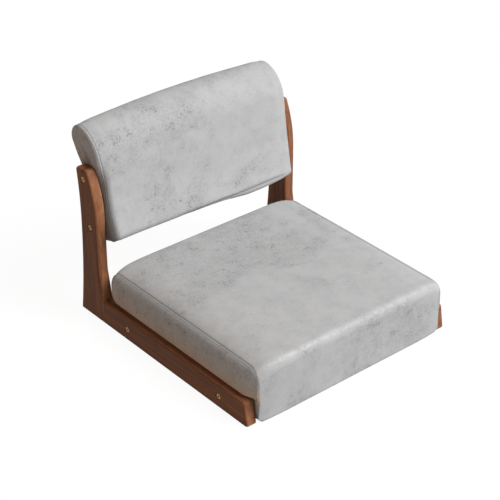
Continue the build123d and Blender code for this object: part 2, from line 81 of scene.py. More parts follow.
class Graph:
    """Builds a node tree, one node at a time."""

    def __init__(self, tree: bpy.types.NodeTree) -> None:
        """Keep the tree and start it empty.

        Args:
            tree: The shader or geometry tree to fill.
        """
        self.tree = tree
        tree.nodes.clear()

    def add(self, kind: str, inputs: dict | None = None, **settings: object) -> bpy.types.Node:
        """Add a node, set its options and fill its inputs.

        Args:
            kind: The node's type name.
            inputs: Socket name or number, to a constant or to the output that feeds it.
            **settings: Options of the node itself.

        Returns:
            The new node.
        """
        node = self.tree.nodes.new(kind)
        for key, value in settings.items():
            setattr(node, key, value)
        for key, value in (inputs or {}).items():
            if isinstance(value, Socket):
                self.tree.links.new(value, node.inputs[key])
            else:
                node.inputs[key].default_value = value
        return node

    def out(self, kind: str, inputs: dict | None = None, **settings: object) -> Socket:
        """Add a node and return its first output's socket."""
        return self.add(kind, inputs, **settings).outputs[0]

    def math(self, operation: str, first: object, second: object = 0.0) -> Socket:
        """Combine two numbers and return the result's socket."""
        return self.out("ShaderNodeMath", {0: first, 1: second}, operation=operation)

    def mix(self, factor: object, first: object, second: object) -> Socket:
        """Blend two colours and return the result's socket."""
        inputs = {0: factor, 6: first, 7: second}
        return self.add("ShaderNodeMix", inputs, data_type="RGBA").outputs[2]

    def ramp(self, value: Socket, stops: Stops) -> Socket:
        """Map a number to a colour.

        Args:
            value: The number's socket.
            stops: Places from 0 to 1 with their colours, in order.

        Returns:
            The colour's socket.
        """
        node = self.add("ShaderNodeValToRGB", {"Fac": value})
        elements = node.color_ramp.elements
        while len(elements) < len(stops):
            elements.new(0.5)
        for element, (place, colour) in zip(elements, stops):
            element.position = place
            element.color = colour
        return node.outputs["Color"]

    def step(self, value: Socket, low: float, high: float) -> Socket:
        """Stretch the part of a number between low and high to 0 to 1, with soft ends."""
        inputs = {"Value": value, "From Min": low, "From Max": high}
        return self.out("ShaderNodeMapRange", inputs, interpolation_type="SMOOTHSTEP")

    def span(self, value: Socket, start: float, end: float) -> Socket:
        """Map a number from 0 to 1 onto the way from start to end."""
        inputs = {"Value": value, "To Min": start, "To Max": end}
        return self.out("ShaderNodeMapRange", inputs)

    def bump(self, height: Socket, strength: float, depth: float) -> Socket:
        """Turn a height into a bumped normal."""
        inputs = {"Strength": strength, "Distance": depth, "Height": height}
        return self.out("ShaderNodeBump", inputs)

    def mark(self, name: str) -> Socket:
        """Read one of the numbers that a piece keeps at its vertices."""
        return self.add("ShaderNodeAttribute", attribute_name=name).outputs["Fac"]

    def scaled(self, value: object, factor: object) -> Socket:
        """Multiply two numbers and return the result's socket."""
        return self.math("MULTIPLY", value, factor)

    def noise(
        self,
        place: Socket,
        scale: float,
        detail: float = 3.0,
        roughness: float = 0.55,
        distortion: float = 0.0,
    ) -> Socket:
        """Add soft noise.

        Args:
            place: Coordinates in metres.
            scale: Features per metre.
            detail: Finer layers on top of the first.
            roughness: Weight of the finer layers.
            distortion: How far the noise is stirred.

        Returns:
            The noise from 0 to 1.
        """
        inputs = {"Vector": place, "Scale": scale, "Detail": detail}
        inputs |= {"Roughness": roughness, "Distortion": distortion}
        return self.out("ShaderNodeTexNoise", inputs)

    def object_place(self, scale: tuple[float, float, float] = (1, 1, 1)) -> Socket:
        """Give the object coordinates, stretched along each axis."""
        source = self.add("ShaderNodeTexCoord").outputs["Object"]
        return self.out("ShaderNodeMapping", {"Vector": source, "Scale": scale})

    def surface(self, inputs: dict) -> None:
        """Close a material with a Principled surface that takes these inputs."""
        shader = self.out("ShaderNodeBsdfPrincipled", inputs)
        self.add("ShaderNodeOutputMaterial", {"Surface": shader})


def new_material(name: str) -> tuple[bpy.types.Material, Graph]:
    """Make an empty node material.

    Args:
        name: The material's name.

    Returns:
        The material and the graph that fills it.
    """
    material = bpy.data.materials.new(name)
    material.use_nodes = True
    return material, Graph(material.node_tree)


@dataclass(frozen=True)
class BrushedSuede:
    """Mottled, brushed upholstery cloth with smudges of fine dark specks, worn folds with a painted
    highlight, painted shade in seams and creases, and painted warm light from the wood.
    """

    name: str = "brushed_suede"
    pale: Colour = srgb(196, 196, 196)
    mid: Colour = srgb(189, 189, 190)
    cloudy: Colour = srgb(178, 178, 179)
    dark: Colour = srgb(118, 119, 120)
    # Painted highlight on the worn fold between top and front.
    rub_highlight: Colour = srgb(217, 217, 217)
    # Colour of the painted shade in seams, creases and the strips beside the uprights.
    seam: Colour = srgb(104, 100, 95)
    # Painted warm light reflected from the wood onto the left side panel.
    tinted: Colour = srgb(202, 166, 130)
    cloud_scale: float = 8.5
    drift_scale: float = 26.0
    patch_scale: float = 52.0
    rub_highlight_scale: float = 130.0
    speck_scale: float = 250.0
    fine_scale: float = 460.0
    fibre_scale: float = 1100.0
    smudge_gain: float = 0.22
    patch_shade: float = 0.35
    cloud_shade: float = 0.2
    cluster_share: float = 0.95
    scatter_share: float = 0.4
    stray_cluster: float = 0.3
    stray_fine: float = 0.17

    def material(self) -> bpy.types.Material:
        """Build the cloth's material.

        Returns:
            The material.
        """
        material, graph = new_material(self.name)
        place = graph.object_place()
        drift = graph.step(graph.noise(place, self.drift_scale, 4.0, 0.6), 0.32, 0.68)
        plain = graph.mix(drift, self.pale, self.mid)
        cloud = graph.noise(place, self.cloud_scale, 4.0, 0.62, 0.5)
        smudged = graph.math("ADD", cloud, graph.scaled(graph.mark("smudge"), self.smudge_gain))
        dense = graph.step(smudged, 0.43, 0.7)
        patch = graph.step(graph.noise(place, self.patch_scale, 4.0, 0.6, 0.4), 0.42, 0.68)
        shade = graph.math("ADD", graph.scaled(patch, self.patch_shade), self.cloud_shade)
        tone = graph.mix(graph.scaled(dense, shade), plain, self.cloudy)
        speck = graph.step(graph.noise(place, self.speck_scale, 4.0, 0.6), 0.4, 0.72)
        fine = graph.step(graph.noise(place, self.fine_scale, 3.0, 0.6), 0.42, 0.74)
        cluster = graph.scaled(graph.scaled(patch, speck), self.cluster_share)
        scatter = graph.scaled(graph.math("MAXIMUM", speck, fine), self.scatter_share)
        inside = graph.scaled(graph.math("MAXIMUM", cluster, scatter), dense)
        few = graph.scaled(cluster, self.stray_cluster)
        stray = graph.math("MAXIMUM", few, graph.scaled(fine, self.stray_fine))
        marked = graph.mix(graph.math("MAXIMUM", inside, stray), tone, self.dark)
        # Painted highlight along the worn front fold, broken up by noise.
        broken = graph.step(graph.noise(place, self.rub_highlight_scale, 4.0, 0.65), 0.25, 0.7)
        rub_highlight = graph.mix(graph.scaled(graph.mark("wear_and_highlight"), broken), marked, self.rub_highlight)
        # Painted shade in seams, creases and the strips beside the uprights.
        crease_shaded = graph.mix(graph.mark("crease_shade"), rub_highlight, self.seam)
        # Painted warm light reflected from the wood, on the left side panel.
        colour = graph.mix(graph.mark("wood_bounce_light"), crease_shaded, self.tinted)
        fibre = graph.noise(place, self.fibre_scale, 3.0, 0.7)
        height = graph.math("ADD", graph.scaled(speck, -0.4), fibre)
        graph.surface(
            {
                "Base Color": colour,
                "Roughness": graph.span(speck, 0.84, 0.96),
                "Specular IOR Level": 0.15,
                "Sheen Weight": 0.06,
                "Sheen Roughness": 0.5,
                "Normal": graph.bump(height, 0.2, 0.0005),
            }
        )
        return material


class Grain(Enum):
    """Which way the fibres of a board run."""

    ACROSS = (0.06, 1.0, 1.0)
    DEPTH = (1.0, 0.06, 1.0)
    UPRIGHT = (1.0, 1.0, 0.06)


@dataclass(frozen=True)
class StainedWalnut:
    """Dark stained hardwood with fine pores along its grain; faces that point sideways get painted
    shade, which leaves the edges lighter.
    """

    name: str
    grain: Grain
    deep: Colour = srgb(104, 66, 46)
    body: Colour = srgb(150, 101, 73)
    light: Colour = srgb(188, 130, 93)
    pore: Colour = srgb(60, 37, 26)
    # How dark the painted shade makes the faces that point sideways.
    side_shade: float = 0.61
    band_scale: float = 46.0
    fibre_scale: float = 330.0
    pore_scale: float = 900.0
    band_share: float = 0.72
    fibre_share: float = 0.28
    pore_share: float = 0.55

    def material(self) -> bpy.types.Material:
        """Build the wood's material.

        Returns:
            The material.
        """
        material, graph = new_material(self.name)
        place = graph.object_place(self.grain.value)
        bands = graph.noise(place, self.band_scale, 4.0, 0.6, 0.9)
        fibres = graph.noise(place, self.fibre_scale, 4.0, 0.65, 0.3)
        pores = graph.step(graph.noise(place, self.pore_scale, 2.0, 0.5), 0.6, 0.7)
        broad = graph.scaled(bands, self.band_share)
        figure = graph.math("ADD", broad, graph.scaled(fibres, self.fibre_share))
        tone = graph.ramp(figure, [(0.31, self.deep), (0.5, self.body), (0.7, self.light)])
        tinted = graph.mix(graph.scaled(pores, self.pore_share), tone, self.pore)
        # Painted shade: faces whose normal points sideways are darkened; edges, tops and ends keep
        # the full colour.
        normal = graph.add("ShaderNodeNewGeometry").outputs["Normal"]
        outward = graph.out("ShaderNodeSeparateXYZ", {0: normal})
        face = graph.step(graph.math("ABSOLUTE", outward), 0.55, 0.98)
        depth = graph.span(face, 1.0, self.side_shade)
        shade = graph.out("ShaderNodeCombineXYZ", {axis: depth for axis in range(3)})
        side_shaded = graph.add("ShaderNodeVectorMath", {0: tinted, 1: shade}, operation="MULTIPLY")
        height = graph.math("SUBTRACT", graph.scaled(fibres, 0.3), pores)
        graph.surface(
            {
                "Base Color": side_shaded.outputs[0],
                "Roughness": graph.span(bands, 0.42, 0.6),
                "Specular IOR Level": 0.06,
                "Normal": graph.bump(height, 0.18, 0.0004),
            }
        )
        return material


@dataclass(frozen=True)
class BareWood:
    """Pale softwood or plywood of the hidden cores."""

    name: str
    grain: Grain
    pale: Colour = srgb(214, 184, 140)
    dark: Colour = srgb(178, 140, 96)
    band_scale: float = 60.0

    def material(self) -> bpy.types.Material:
        """Build the wood's material.

        Returns:
            The material.
        """
        material, graph = new_material(self.name)
        place = graph.object_place(self.grain.value)
        bands = graph.noise(place, self.band_scale, 4.0, 0.6, 0.6)
        colour = graph.ramp(bands, [(0.35, self.dark), (0.62, self.pale)])
        bump = graph.bump(bands, 0.15, 0.0005)
        graph.surface({"Base Color": colour, "Roughness": 0.7, "Normal": bump})
        return material


@dataclass(frozen=True)
class Metal:
    """A worn metal with dull spots."""

    name: str
    bright: Colour
    dull: Colour
    polish: float
    tarnish_scale: float = 420.0
    tarnish_rough: float = 0.2

    def material(self) -> bpy.types.Material:
        """Build the metal's material.

        Returns:
            The material.
        """
        material, graph = new_material(self.name)
        place = graph.object_place()
        tarnish = graph.step(graph.noise(place, self.tarnish_scale, 4.0, 0.6), 0.35, 0.7)
        colour = graph.mix(tarnish, self.bright, self.dull)
        rough = graph.span(tarnish, self.polish, self.polish + self.tarnish_rough)
        graph.surface({"Base Color": colour, "Metallic": 1.0, "Roughness": rough})
        return material


@dataclass(frozen=True)
class Thread:
    """Twisted polyester sewing thread."""

    name: str = "sewing_thread"
    pale: Colour = srgb(176, 175, 172)
    dark: Colour = srgb(134, 133, 130)
    twist_scale: float = 1500.0

    def material(self) -> bpy.types.Material:
        """Build the thread's material.

        Returns:
            The material.
        """
        material, graph = new_material(self.name)
        twist = graph.step(graph.noise(graph.object_place(), self.twist_scale, 2.0), 0.4, 0.65)
        colour = graph.mix(twist, self.pale, self.dark)
        graph.surface({"Base Color": colour, "Roughness": 0.6, "Sheen Weight": 0.1})
        return material


@dataclass(frozen=True)
class SpunLining:
    """Thin black lining cloth with a pressed dot pattern."""

    name: str = "spun_lining"
    dark: Colour = srgb(34, 34, 35)
    pale: Colour = srgb(58, 58, 60)
    dot_scale: float = 420.0
    fibre_scale: float = 700.0

    def material(self) -> bpy.types.Material:
        """Build the lining's material.

        Returns:
            The material.
        """
        material, graph = new_material(self.name)
        place = graph.object_place()
        dots = graph.add("ShaderNodeTexVoronoi", {"Vector": place, "Scale": self.dot_scale})
        pressed = graph.step(dots.outputs["Distance"], 0.2, 0.45)
        fibre = graph.noise(place, self.fibre_scale, 4.0, 0.7)
        colour = graph.mix(graph.scaled(pressed, fibre), self.dark, self.pale)
        bump = graph.bump(pressed, 0.3, 0.0004)
        graph.surface({"Base Color": colour, "Roughness": 0.9, "Normal": bump})
        return material


def line(start: tuple, end: tuple, count: int) -> np.ndarray:
    """Points along a straight run, without its end point."""
    share = np.linspace(0, 1, count, endpoint=False)[:, None]
    return np.array(start) * (1 - share) + np.array(end) * share


def arc(centre: tuple, radius: float, start: float, end: float, count: int) -> np.ndarray:
    """Points along an arc, without its end point.

    Args:
        centre: The arc's centre.
        radius: The arc's radius.
        start: First angle in degrees.
        end: Last angle in degrees.
        count: How many points.

    Returns:
        An array of count points.
    """
    angles = np.radians(np.linspace(start, end, count, endpoint=False))
    return np.array(centre) + radius * np.stack([np.cos(angles), np.sin(angles)], axis=1)


def loop_faces(columns: int, points: int) -> list[tuple[int, ...]]:
    """Quads between neighbouring loops, with the first and last loop closed by one face each.

    Args:
        columns: How many loops there are.
        points: How many points each loop has.

    Returns:
        The faces as tuples of vertex numbers, all facing outwards.
    """
    faces: list[tuple[int, ...]] = []
    for column in range(columns - 1):
        near, far = column * points, (column + 1) * points
        for i in range(points):
            k = (i + 1) % points
            faces.append((near + i, near + k, far + k, far + i))
    faces.append(tuple(reversed(range(points))))
    faces.append(tuple(range((columns - 1) * points, columns * points)))
    return faces


def new_piece(
    name: str, vertices: np.ndarray, faces: list, material: bpy.types.Material
) -> bpy.types.Object:
    """Make a smooth mesh object at the origin and link it to the scene.

    Args:
        name: The object's name.
        vertices: Its points in metres.
        faces: Its faces as tuples of vertex numbers.
        material: Its finish.

    Returns:
        The new object.
    """
    mesh = bpy.data.meshes.new(name)
    mesh.from_pydata(vertices.reshape(-1, 3).tolist(), [], faces)
    mesh.materials.append(material)
    mesh.shade_smooth()
    mesh.update()
    piece = bpy.data.objects.new(name, mesh)
    bpy.context.scene.collection.objects.link(piece)
    return piece


def store(piece: bpy.types.Object, name: str, values: np.ndarray) -> None:
    """Keep one number per vertex on a piece, for its material to read."""
    attribute = piece.data.attributes.new(name, "FLOAT", "POINT")
    attribute.data.foreach_set("value", values.ravel().astype(np.float32))


def normals_of(loops: np.ndarray) -> np.ndarray:
    """Outward normals of a tube of closed loops.

    Args:
        loops: Points as columns by points by three.

    Returns:
        Unit normals of the same shape.
    """
    along = np.roll(loops, -1, axis=1) - np.roll(loops, 1, axis=1)
    across = np.gradient(loops, axis=0)
    normal = np.cross(along, across)
    return normal / np.maximum(np.linalg.norm(normal, axis=2, keepdims=True), 1e-9)


def resample(loops: np.ndarray, places: np.ndarray) -> np.ndarray:
    """Read a tube of loops at places between its columns, along a smooth curve.

    Args:
        loops: Points as columns by points by three.
        places: Column numbers, whole or in between.

    Returns:
        One loop for each place.
    """
    last = len(loops) - 1
    k = np.clip(np.floor(places).astype(int), 0, last - 1)
    t = (places - k)[:, None, None]
    p0, p1 = loops[np.maximum(k - 1, 0)], loops[k]
    p2, p3 = loops[k + 1], loops[np.minimum(k + 2, last)]
    curve = 2 * p1 + (p2 - p0) * t + (2 * p0 - 5 * p1 + 4 * p2 - p3) * t**2
    return 0.5 * (curve + (3 * p1 - p0 - 3 * p2 + p3) * t**3)


@dataclass(frozen=True)
class Inflation:
    """How a sewn cover is blown out by its filling, while the foam behind it keeps its form."""

    pressure: float = 6.0
    frames: int = 20
    mass: float = 0.004
    tension: float = 12.0
    bending: float = 0.6
    foam_hold: float = 0.2
    foam_stiffness: float = 0.2
    slack: float = 0.006
    cap: float = 0.006
    calm: int = 5
    quality: int = 8

    def run(self, loops: np.ndarray, pins: np.ndarray) -> np.ndarray:
        """Blow out a tube of loops as cloth and return where its points come to rest.

        Args:
            loops: Points as columns by points by three.
            pins: How firmly each point is held, from 0 to 1.

        Returns:
            The moved points, none further than the cap from where it began.
        """
        columns, points = loops.shape[:2]
        mesh = bpy.data.meshes.new("inflation")
        mesh.from_pydata(loops.reshape(-1, 3).tolist(), [], loop_faces(columns, points))
        cover = bpy.data.objects.new("inflation", mesh)
        bpy.context.scene.collection.objects.link(cover)
        held = cover.vertex_groups.new(name="held")
        for index, weight in enumerate(np.maximum(pins, self.foam_hold).ravel().tolist()):
            held.add([index], weight, "REPLACE")
        cloth = cover.modifiers.new("cloth", "CLOTH")
        settings = cloth.settings
        settings.quality = self.quality
        settings.mass = self.mass
        settings.tension_stiffness = self.tension
        settings.compression_stiffness = self.tension
        settings.shear_stiffness = self.tension / 2
        settings.bending_stiffness = self.bending
        settings.use_pressure = True
        settings.uniform_pressure_force = self.pressure
        settings.shrink_min = -self.slack
        settings.vertex_group_mass = held.name
        settings.pin_stiffness = self.foam_stiffness
        settings.effector_weights.gravity = 0.0
        cloth.collision_settings.use_collision = False
        cloth.point_cache.frame_start = 1
        cloth.point_cache.frame_end = self.frames
        for number in range(1, self.frames + 1):
            bpy.context.scene.frame_set(number)
        shaped = cover.evaluated_get(bpy.context.evaluated_depsgraph_get()).data
        rest = np.empty(columns * points * 3, np.float32)
        shaped.vertices.foreach_get("co", rest)
        bpy.context.scene.frame_set(1)
        bpy.data.objects.remove(cover)
        bpy.data.meshes.remove(mesh)
        shift = rest.reshape(loops.shape).astype(float) - loops
        length = np.linalg.norm(shift, axis=2, keepdims=True)
        furthest, average = 1e3 * length.max(), 1e3 * length.mean()
        log.info("cover moved by up to %.1f mm, %.1f mm on average", furthest, average)
        shift = shift * np.minimum(1.0, self.cap / np.maximum(length, 1e-9))
        for _ in range(self.calm):
            shift = (np.roll(shift, 1, axis=1) + 2 * shift + np.roll(shift, -1, axis=1)) / 4
            wide = np.concatenate([shift[:1], shift, shift[-1:]])
            shift = (wide[:-2] + 2 * wide[1:-1] + wide[2:]) / 4
        return loops + shift * (1 - pins)[:, :, None]


class NodeTool:
    """A Geometry Nodes tree with named inputs, put on a base mesh and turned into a plain mesh."""

    def __init__(self, name: str, numbers: dict[str, float]) -> None:
        """Start a tree whose inputs are a base shape, some lengths and a finish.

        Args:
            name: The tree's name.
            numbers: Name and value of each length.
        """
        self.name = name
        self.numbers = numbers
        self.tree = bpy.data.node_groups.new(name, "GeometryNodeTree")
        self.graph = Graph(self.tree)
        sockets = self.tree.interface
        sockets.new_socket("Base", in_out="INPUT", socket_type="NodeSocketGeometry")
        for label in numbers:
            sockets.new_socket(label, in_out="INPUT", socket_type="NodeSocketFloat")
        sockets.new_socket("Finish", in_out="INPUT", socket_type="NodeSocketMaterial")
        sockets.new_socket("Shape", in_out="OUTPUT", socket_type="NodeSocketGeometry")
        self.given = self.graph.add("NodeGroupInput").outputs

    def close(self, instances: Socket) -> None:
        """End the tree with real geometry that carries the finish.

        Args:
            instances: The repeated shapes.
        """
        real = self.graph.out("GeometryNodeRealizeInstances", {0: instances})
        smooth = self.graph.out("GeometryNodeSetShadeSmooth", {0: real})
        dressed = self.graph.out(
            "GeometryNodeSetMaterial", {"Geometry": smooth, "Material": self.given["Finish"]}
        )
        self.graph.add("NodeGroupOutput", {"Shape": dressed})

    def apply(
        self, name: str, base: bpy.types.Mesh, finish: bpy.types.Material
    ) -> bpy.types.Object:
        """Run the tree on a base mesh.

        Args:
            name: The finished piece's name.
            base: The mesh whose points or edges the tree follows.
            finish: The piece's material.

        Returns:
            A plain mesh object at the origin.
        """
        carrier = bpy.data.objects.new(name + "_base", base)
        bpy.context.scene.collection.objects.link(carrier)
        modifier = carrier.modifiers.new(self.name, "NODES")
        modifier.node_group = self.tree
        for item in self.tree.interface.items_tree:
            if item.in_out == "INPUT" and item.name in self.numbers:
                modifier[item.identifier] = self.numbers[item.name]
            elif item.in_out == "INPUT" and item.name == "Finish":
                modifier[item.identifier] = finish
        graph = bpy.context.evaluated_depsgraph_get()
        mesh = bpy.data.meshes.new_from_object(carrier.evaluated_get(graph))
        mesh.name = name
        carrier.modifiers.remove(modifier)
        bpy.data.objects.remove(carrier)
        piece = bpy.data.objects.new(name, mesh)
        bpy.context.scene.collection.objects.link(piece)
        return piece


def stitch_tool(pitch: float, length: float, thickness: float) -> NodeTool:
    """Build the tree that lays stitches along the edges of its base, each on the cloth's face.

    Args:
        pitch: Distance from stitch to stitch.
        length: Length of one stitch.
        thickness: Thickness of the thread.

    Returns:
        The finished tool.
    """
    tool = NodeTool("stitch_row", {"Pitch": pitch, "Length": length, "Thickness": thickness})
    graph, given = tool.graph, tool.given
    path = graph.out("GeometryNodeMeshToCurve", {0: given["Base"]})
    spaced = graph.out(
        "GeometryNodeResampleCurve", {"Curve": path, "Length": given["Pitch"]}, mode="LENGTH"
    )
    face = graph.out("GeometryNodeInputNamedAttribute", {"Name": "face"}, data_type="FLOAT_VECTOR")
    tangent = graph.out("GeometryNodeInputTangent")
    upright = graph.out("FunctionNodeAlignRotationToVector", {"Vector": face}, axis="Z")
    turned = graph.out(
        "FunctionNodeAlignRotationToVector",
        {"Rotation": upright, "Vector": tangent},
        axis="X",
        pivot_axis="Z",
    )
    ball = graph.out("GeometryNodeMeshUVSphere", {"Segments": 8, "Rings": 6, "Radius": 0.5})
    size = graph.out(
        "ShaderNodeCombineXYZ", {0: given["Length"], 1: given["Thickness"], 2: given["Thickness"]}
    )
    stitch = graph.out("GeometryNodeTransform", {"Geometry": ball, "Scale": size})
    row = graph.out(
        "GeometryNodeInstanceOnPoints", {"Points": spaced, "Instance": stitch, "Rotation": turned}
    )
    tool.close(row)
    return tool


def staple_tool(width: float, wire: float, leg: float) -> NodeTool:
    """Build the tree that sets a staple on each point of its base, turned by the point's heading.

    Args:
        width: Width of a staple's crown.
        wire: Thickness of the wire.
        leg: How far the legs reach up from the crown.

    Returns:
        The finished tool.
    """
    tool = NodeTool("staple_row", {"Width": width, "Wire": wire, "Leg": leg})
    graph, given = tool.graph, tool.given
    half = graph.scaled(given["Width"], 0.5)
    back = graph.scaled(half, -1.0)
    corners = [
        graph.out("ShaderNodeCombineXYZ", {0: x, 2: z})
        for x, z in ((back, given["Leg"]), (back, 0.0), (half, 0.0), (half, given["Leg"]))
    ]
    runs = [
        graph.out("GeometryNodeCurvePrimitiveLine", {"Start": start, "End": end})
        for start, end in zip(corners, corners[1:])
    ]
    joined = graph.add("GeometryNodeJoinGeometry")
    for run in reversed(runs):
        graph.tree.links.new(run, joined.inputs[0])
    profile = graph.out(
        "GeometryNodeCurvePrimitiveCircle",
        {"Resolution": 8, "Radius": graph.scaled(given["Wire"], 0.5)},
    )
    staple = graph.out(
        "GeometryNodeCurveToMesh",
        {"Curve": joined.outputs[0], "Profile Curve": profile, "Fill Caps": True},
    )
    heading = graph.out("GeometryNodeInputNamedAttribute", {"Name": "heading"}, data_type="FLOAT")
    turn = graph.out("ShaderNodeCombineXYZ", {2: heading})
    row = graph.out(
        "GeometryNodeInstanceOnPoints",
        {"Points": given["Base"], "Instance": staple, "Rotation": turn},
    )
    tool.close(row)
    return tool


def path_mesh(points: np.ndarray, faces: np.ndarray) -> bpy.types.Mesh:
    """Make an open chain of edges that knows which way the cloth faces at each point.

    Args:
        points: The chain's points.
        faces: The cloth's normal at each point.

    Returns:
        The chain as a mesh.
    """
    mesh = bpy.data.meshes.new("seam_path")
    mesh.from_pydata(points.tolist(), [(i, i + 1) for i in range(len(points) - 1)], [])
    attribute = mesh.attributes.new("face", "FLOAT_VECTOR", "POINT")
    attribute.data.foreach_set("vector", faces.ravel().astype(np.float32))
    return mesh


@dataclass(frozen=True)
class SewnSeam:
    """A seam between the wrap and a side panel, with a topstitched band along the panel."""

    groove: float
    darkness: float
    stitch_place: float = 0.0045
    groove_width: float = 0.0011
    lap: float = 0.0011
    band: float = 0.0006
    stitch_dip: float = 0.0005
    stitch_width: float = 0.0009
    band_edges: tuple[float, float, float] = (0.0004, 0.0014, 0.0012)
    fold_reach: float = 1.2
    row_share: float = 0.3
    relief: tuple[float, ...] = (
        0.0006, 0.0012, 0.002, 0.003, 0.0038, 0.0045, 0.0052, 0.0059, 0.0066,
    )
    panel_relief: tuple[float, float] = (0.0074, 0.0084)

    def lift(self, distance: np.ndarray) -> np.ndarray:
        """Height of the cloth beside the seam.

        Args:
            distance: Signed distance from the seam, positive on the panel.

        Returns:
            The height over the plain cloth.
        """
        width = np.where(distance > 0, self.lap, self.groove_width)
        cut = -self.groove * np.exp(-((distance / width) ** 2))
        start, full, fall = self.band_edges
        inside = smooth_step(start, full, distance)
        inside = inside * (1 - smooth_step(self.stitch_place - fall, self.stitch_place, distance))
        return cut + self.band * inside - self.stitch_dip * self.row(distance)

    def row(self, distance: np.ndarray) -> np.ndarray:
        """1 at the row of stitches, fading beside it."""
        return np.exp(-(((distance - self.stitch_place) / self.stitch_width) ** 2))

    def shade(self, distance: np.ndarray) -> np.ndarray:
        """How dark the cloth is beside the seam, where shadow and dust gather.

        Args:
            distance: Signed distance from the seam, positive on the panel.

        Returns:
            The darkness from 0 to 1.
        """
        fold = np.exp(-((distance / (self.fold_reach * self.groove_width)) ** 2))
        return self.darkness * np.maximum(fold, self.row_share * self.row(distance))

    def places(self) -> np.ndarray:
        """Distances from the seam at which the cover needs points to show its relief."""
        steps = np.array(self.relief)
        return np.concatenate([-steps[::-1], [0.0], steps, self.panel_relief])


@dataclass
class SewnCover:
    """A closed cover of a wrap and two side panels over foam, built as loops from left to right."""

    cloth: bpy.types.Material
    thread: bpy.types.Material
    seam: SewnSeam
    column_step: float = 0.005
    start_inset: float = 0.0002
    stitch_pitch: float = 0.0046
    stitch_length: float = 0.0036
    thread_thickness: float = 0.0007
    thread_lift: float = 0.0001
    seam_zone: float = 0.0092
    inflation: Inflation = Inflation()

    def fill(self, loops: np.ndarray, pins: np.ndarray) -> np.ndarray:
        """Args:
            loops: The cover as it is cut.
            pins: How firmly each point is held, from 0 to 1.

        Returns:
            The filled cover.
        """
        inset = self.start_inset * (1 - pins)[:, :, None]
        return self.inflation.run(loops - normals_of(loops) * inset, pins)

    def refine(
        self, loops: np.ndarray, seams: tuple[int, int], shown: np.ndarray
    ) -> tuple[np.ndarray, np.ndarray]:
        """Add loops beside the seams, where the cover needs them.

        Args:
            loops: The filled cover.
            seams: Columns of the left and the right seam.
            shown: Which points of a loop measure the way across.

        Returns:
            The finer cover, and each loop's signed distance from the nearer seam, positive on the
            side panels.
        """
        steps = np.linalg.norm(np.diff(loops, axis=0), axis=2)[:, shown].mean(axis=1)
        reach = np.concatenate([[0.0], np.cumsum(steps)])
        numbers = np.arange(len(loops))
        near = np.min([np.abs(reach - reach[column]) for column in seams], axis=0)
        places = [numbers[near > self.seam_zone]]
        for column, outward in zip(seams, (-1, 1)):
            spots = reach[column] + outward * self.seam.places()
            places.append(np.interp(spots, reach, numbers))
        columns = np.unique(np.round(np.concatenate(places), 4))
        travel = np.interp(columns, numbers, reach)
        left, right = reach[seams[0]] - travel, travel - reach[seams[1]]
        distance = np.where(np.abs(left) < np.abs(right), left, right)
        return resample(loops, columns), distance

    def stitches(
        self, name: str, loops: np.ndarray, distance: np.ndarray, shown: np.ndarray
    ) -> list[bpy.types.Object]:
        """Lay a row of stitches beside each seam.

        Args:
            name: First part of the rows' names.
            loops: The finished cover.
            distance: Each loop's signed distance from the nearer seam.
            shown: Which points of a loop the stitches follow, in one run.

        Returns:
            The two rows.
        """
        rows = []
        normal = normals_of(loops)
        half = len(loops) // 2
        start = int(np.argmax(shown & ~np.roll(shown, 1)))
        order = (start + np.arange(int(shown.sum()))) % len(shown)
        for side, first, last in (("left", 0, half), ("right", half, len(loops))):
            column = first + int(np.argmin(np.abs(distance[first:last] - self.seam.stitch_place)))
            face = normal[column, order]
            path = path_mesh(loops[column, order] + face * self.thread_lift, face)
            tool = stitch_tool(self.stitch_pitch, self.stitch_length, self.thread_thickness)
            rows.append(tool.apply(f"{name}_stitches_{side}", path, self.thread))
        return rows

    def cut(self, name: str, loops: np.ndarray, marks: dict[str, np.ndarray]) -> bpy.types.Object:
        """Make the cover's mesh with its marks.

        Args:
            name: The piece's name.
            loops: The finished cover.
            marks: How worn each point is, and how much painted highlight, painted shade, smudging
                and painted warm light from the wood it carries.

        Returns:
            The cushion.
        """
        piece = new_piece(name, loops, loop_faces(*loops.shape[:2]), self.cloth)
        for mark, values in marks.items():
            store(piece, mark, values)
        return piece


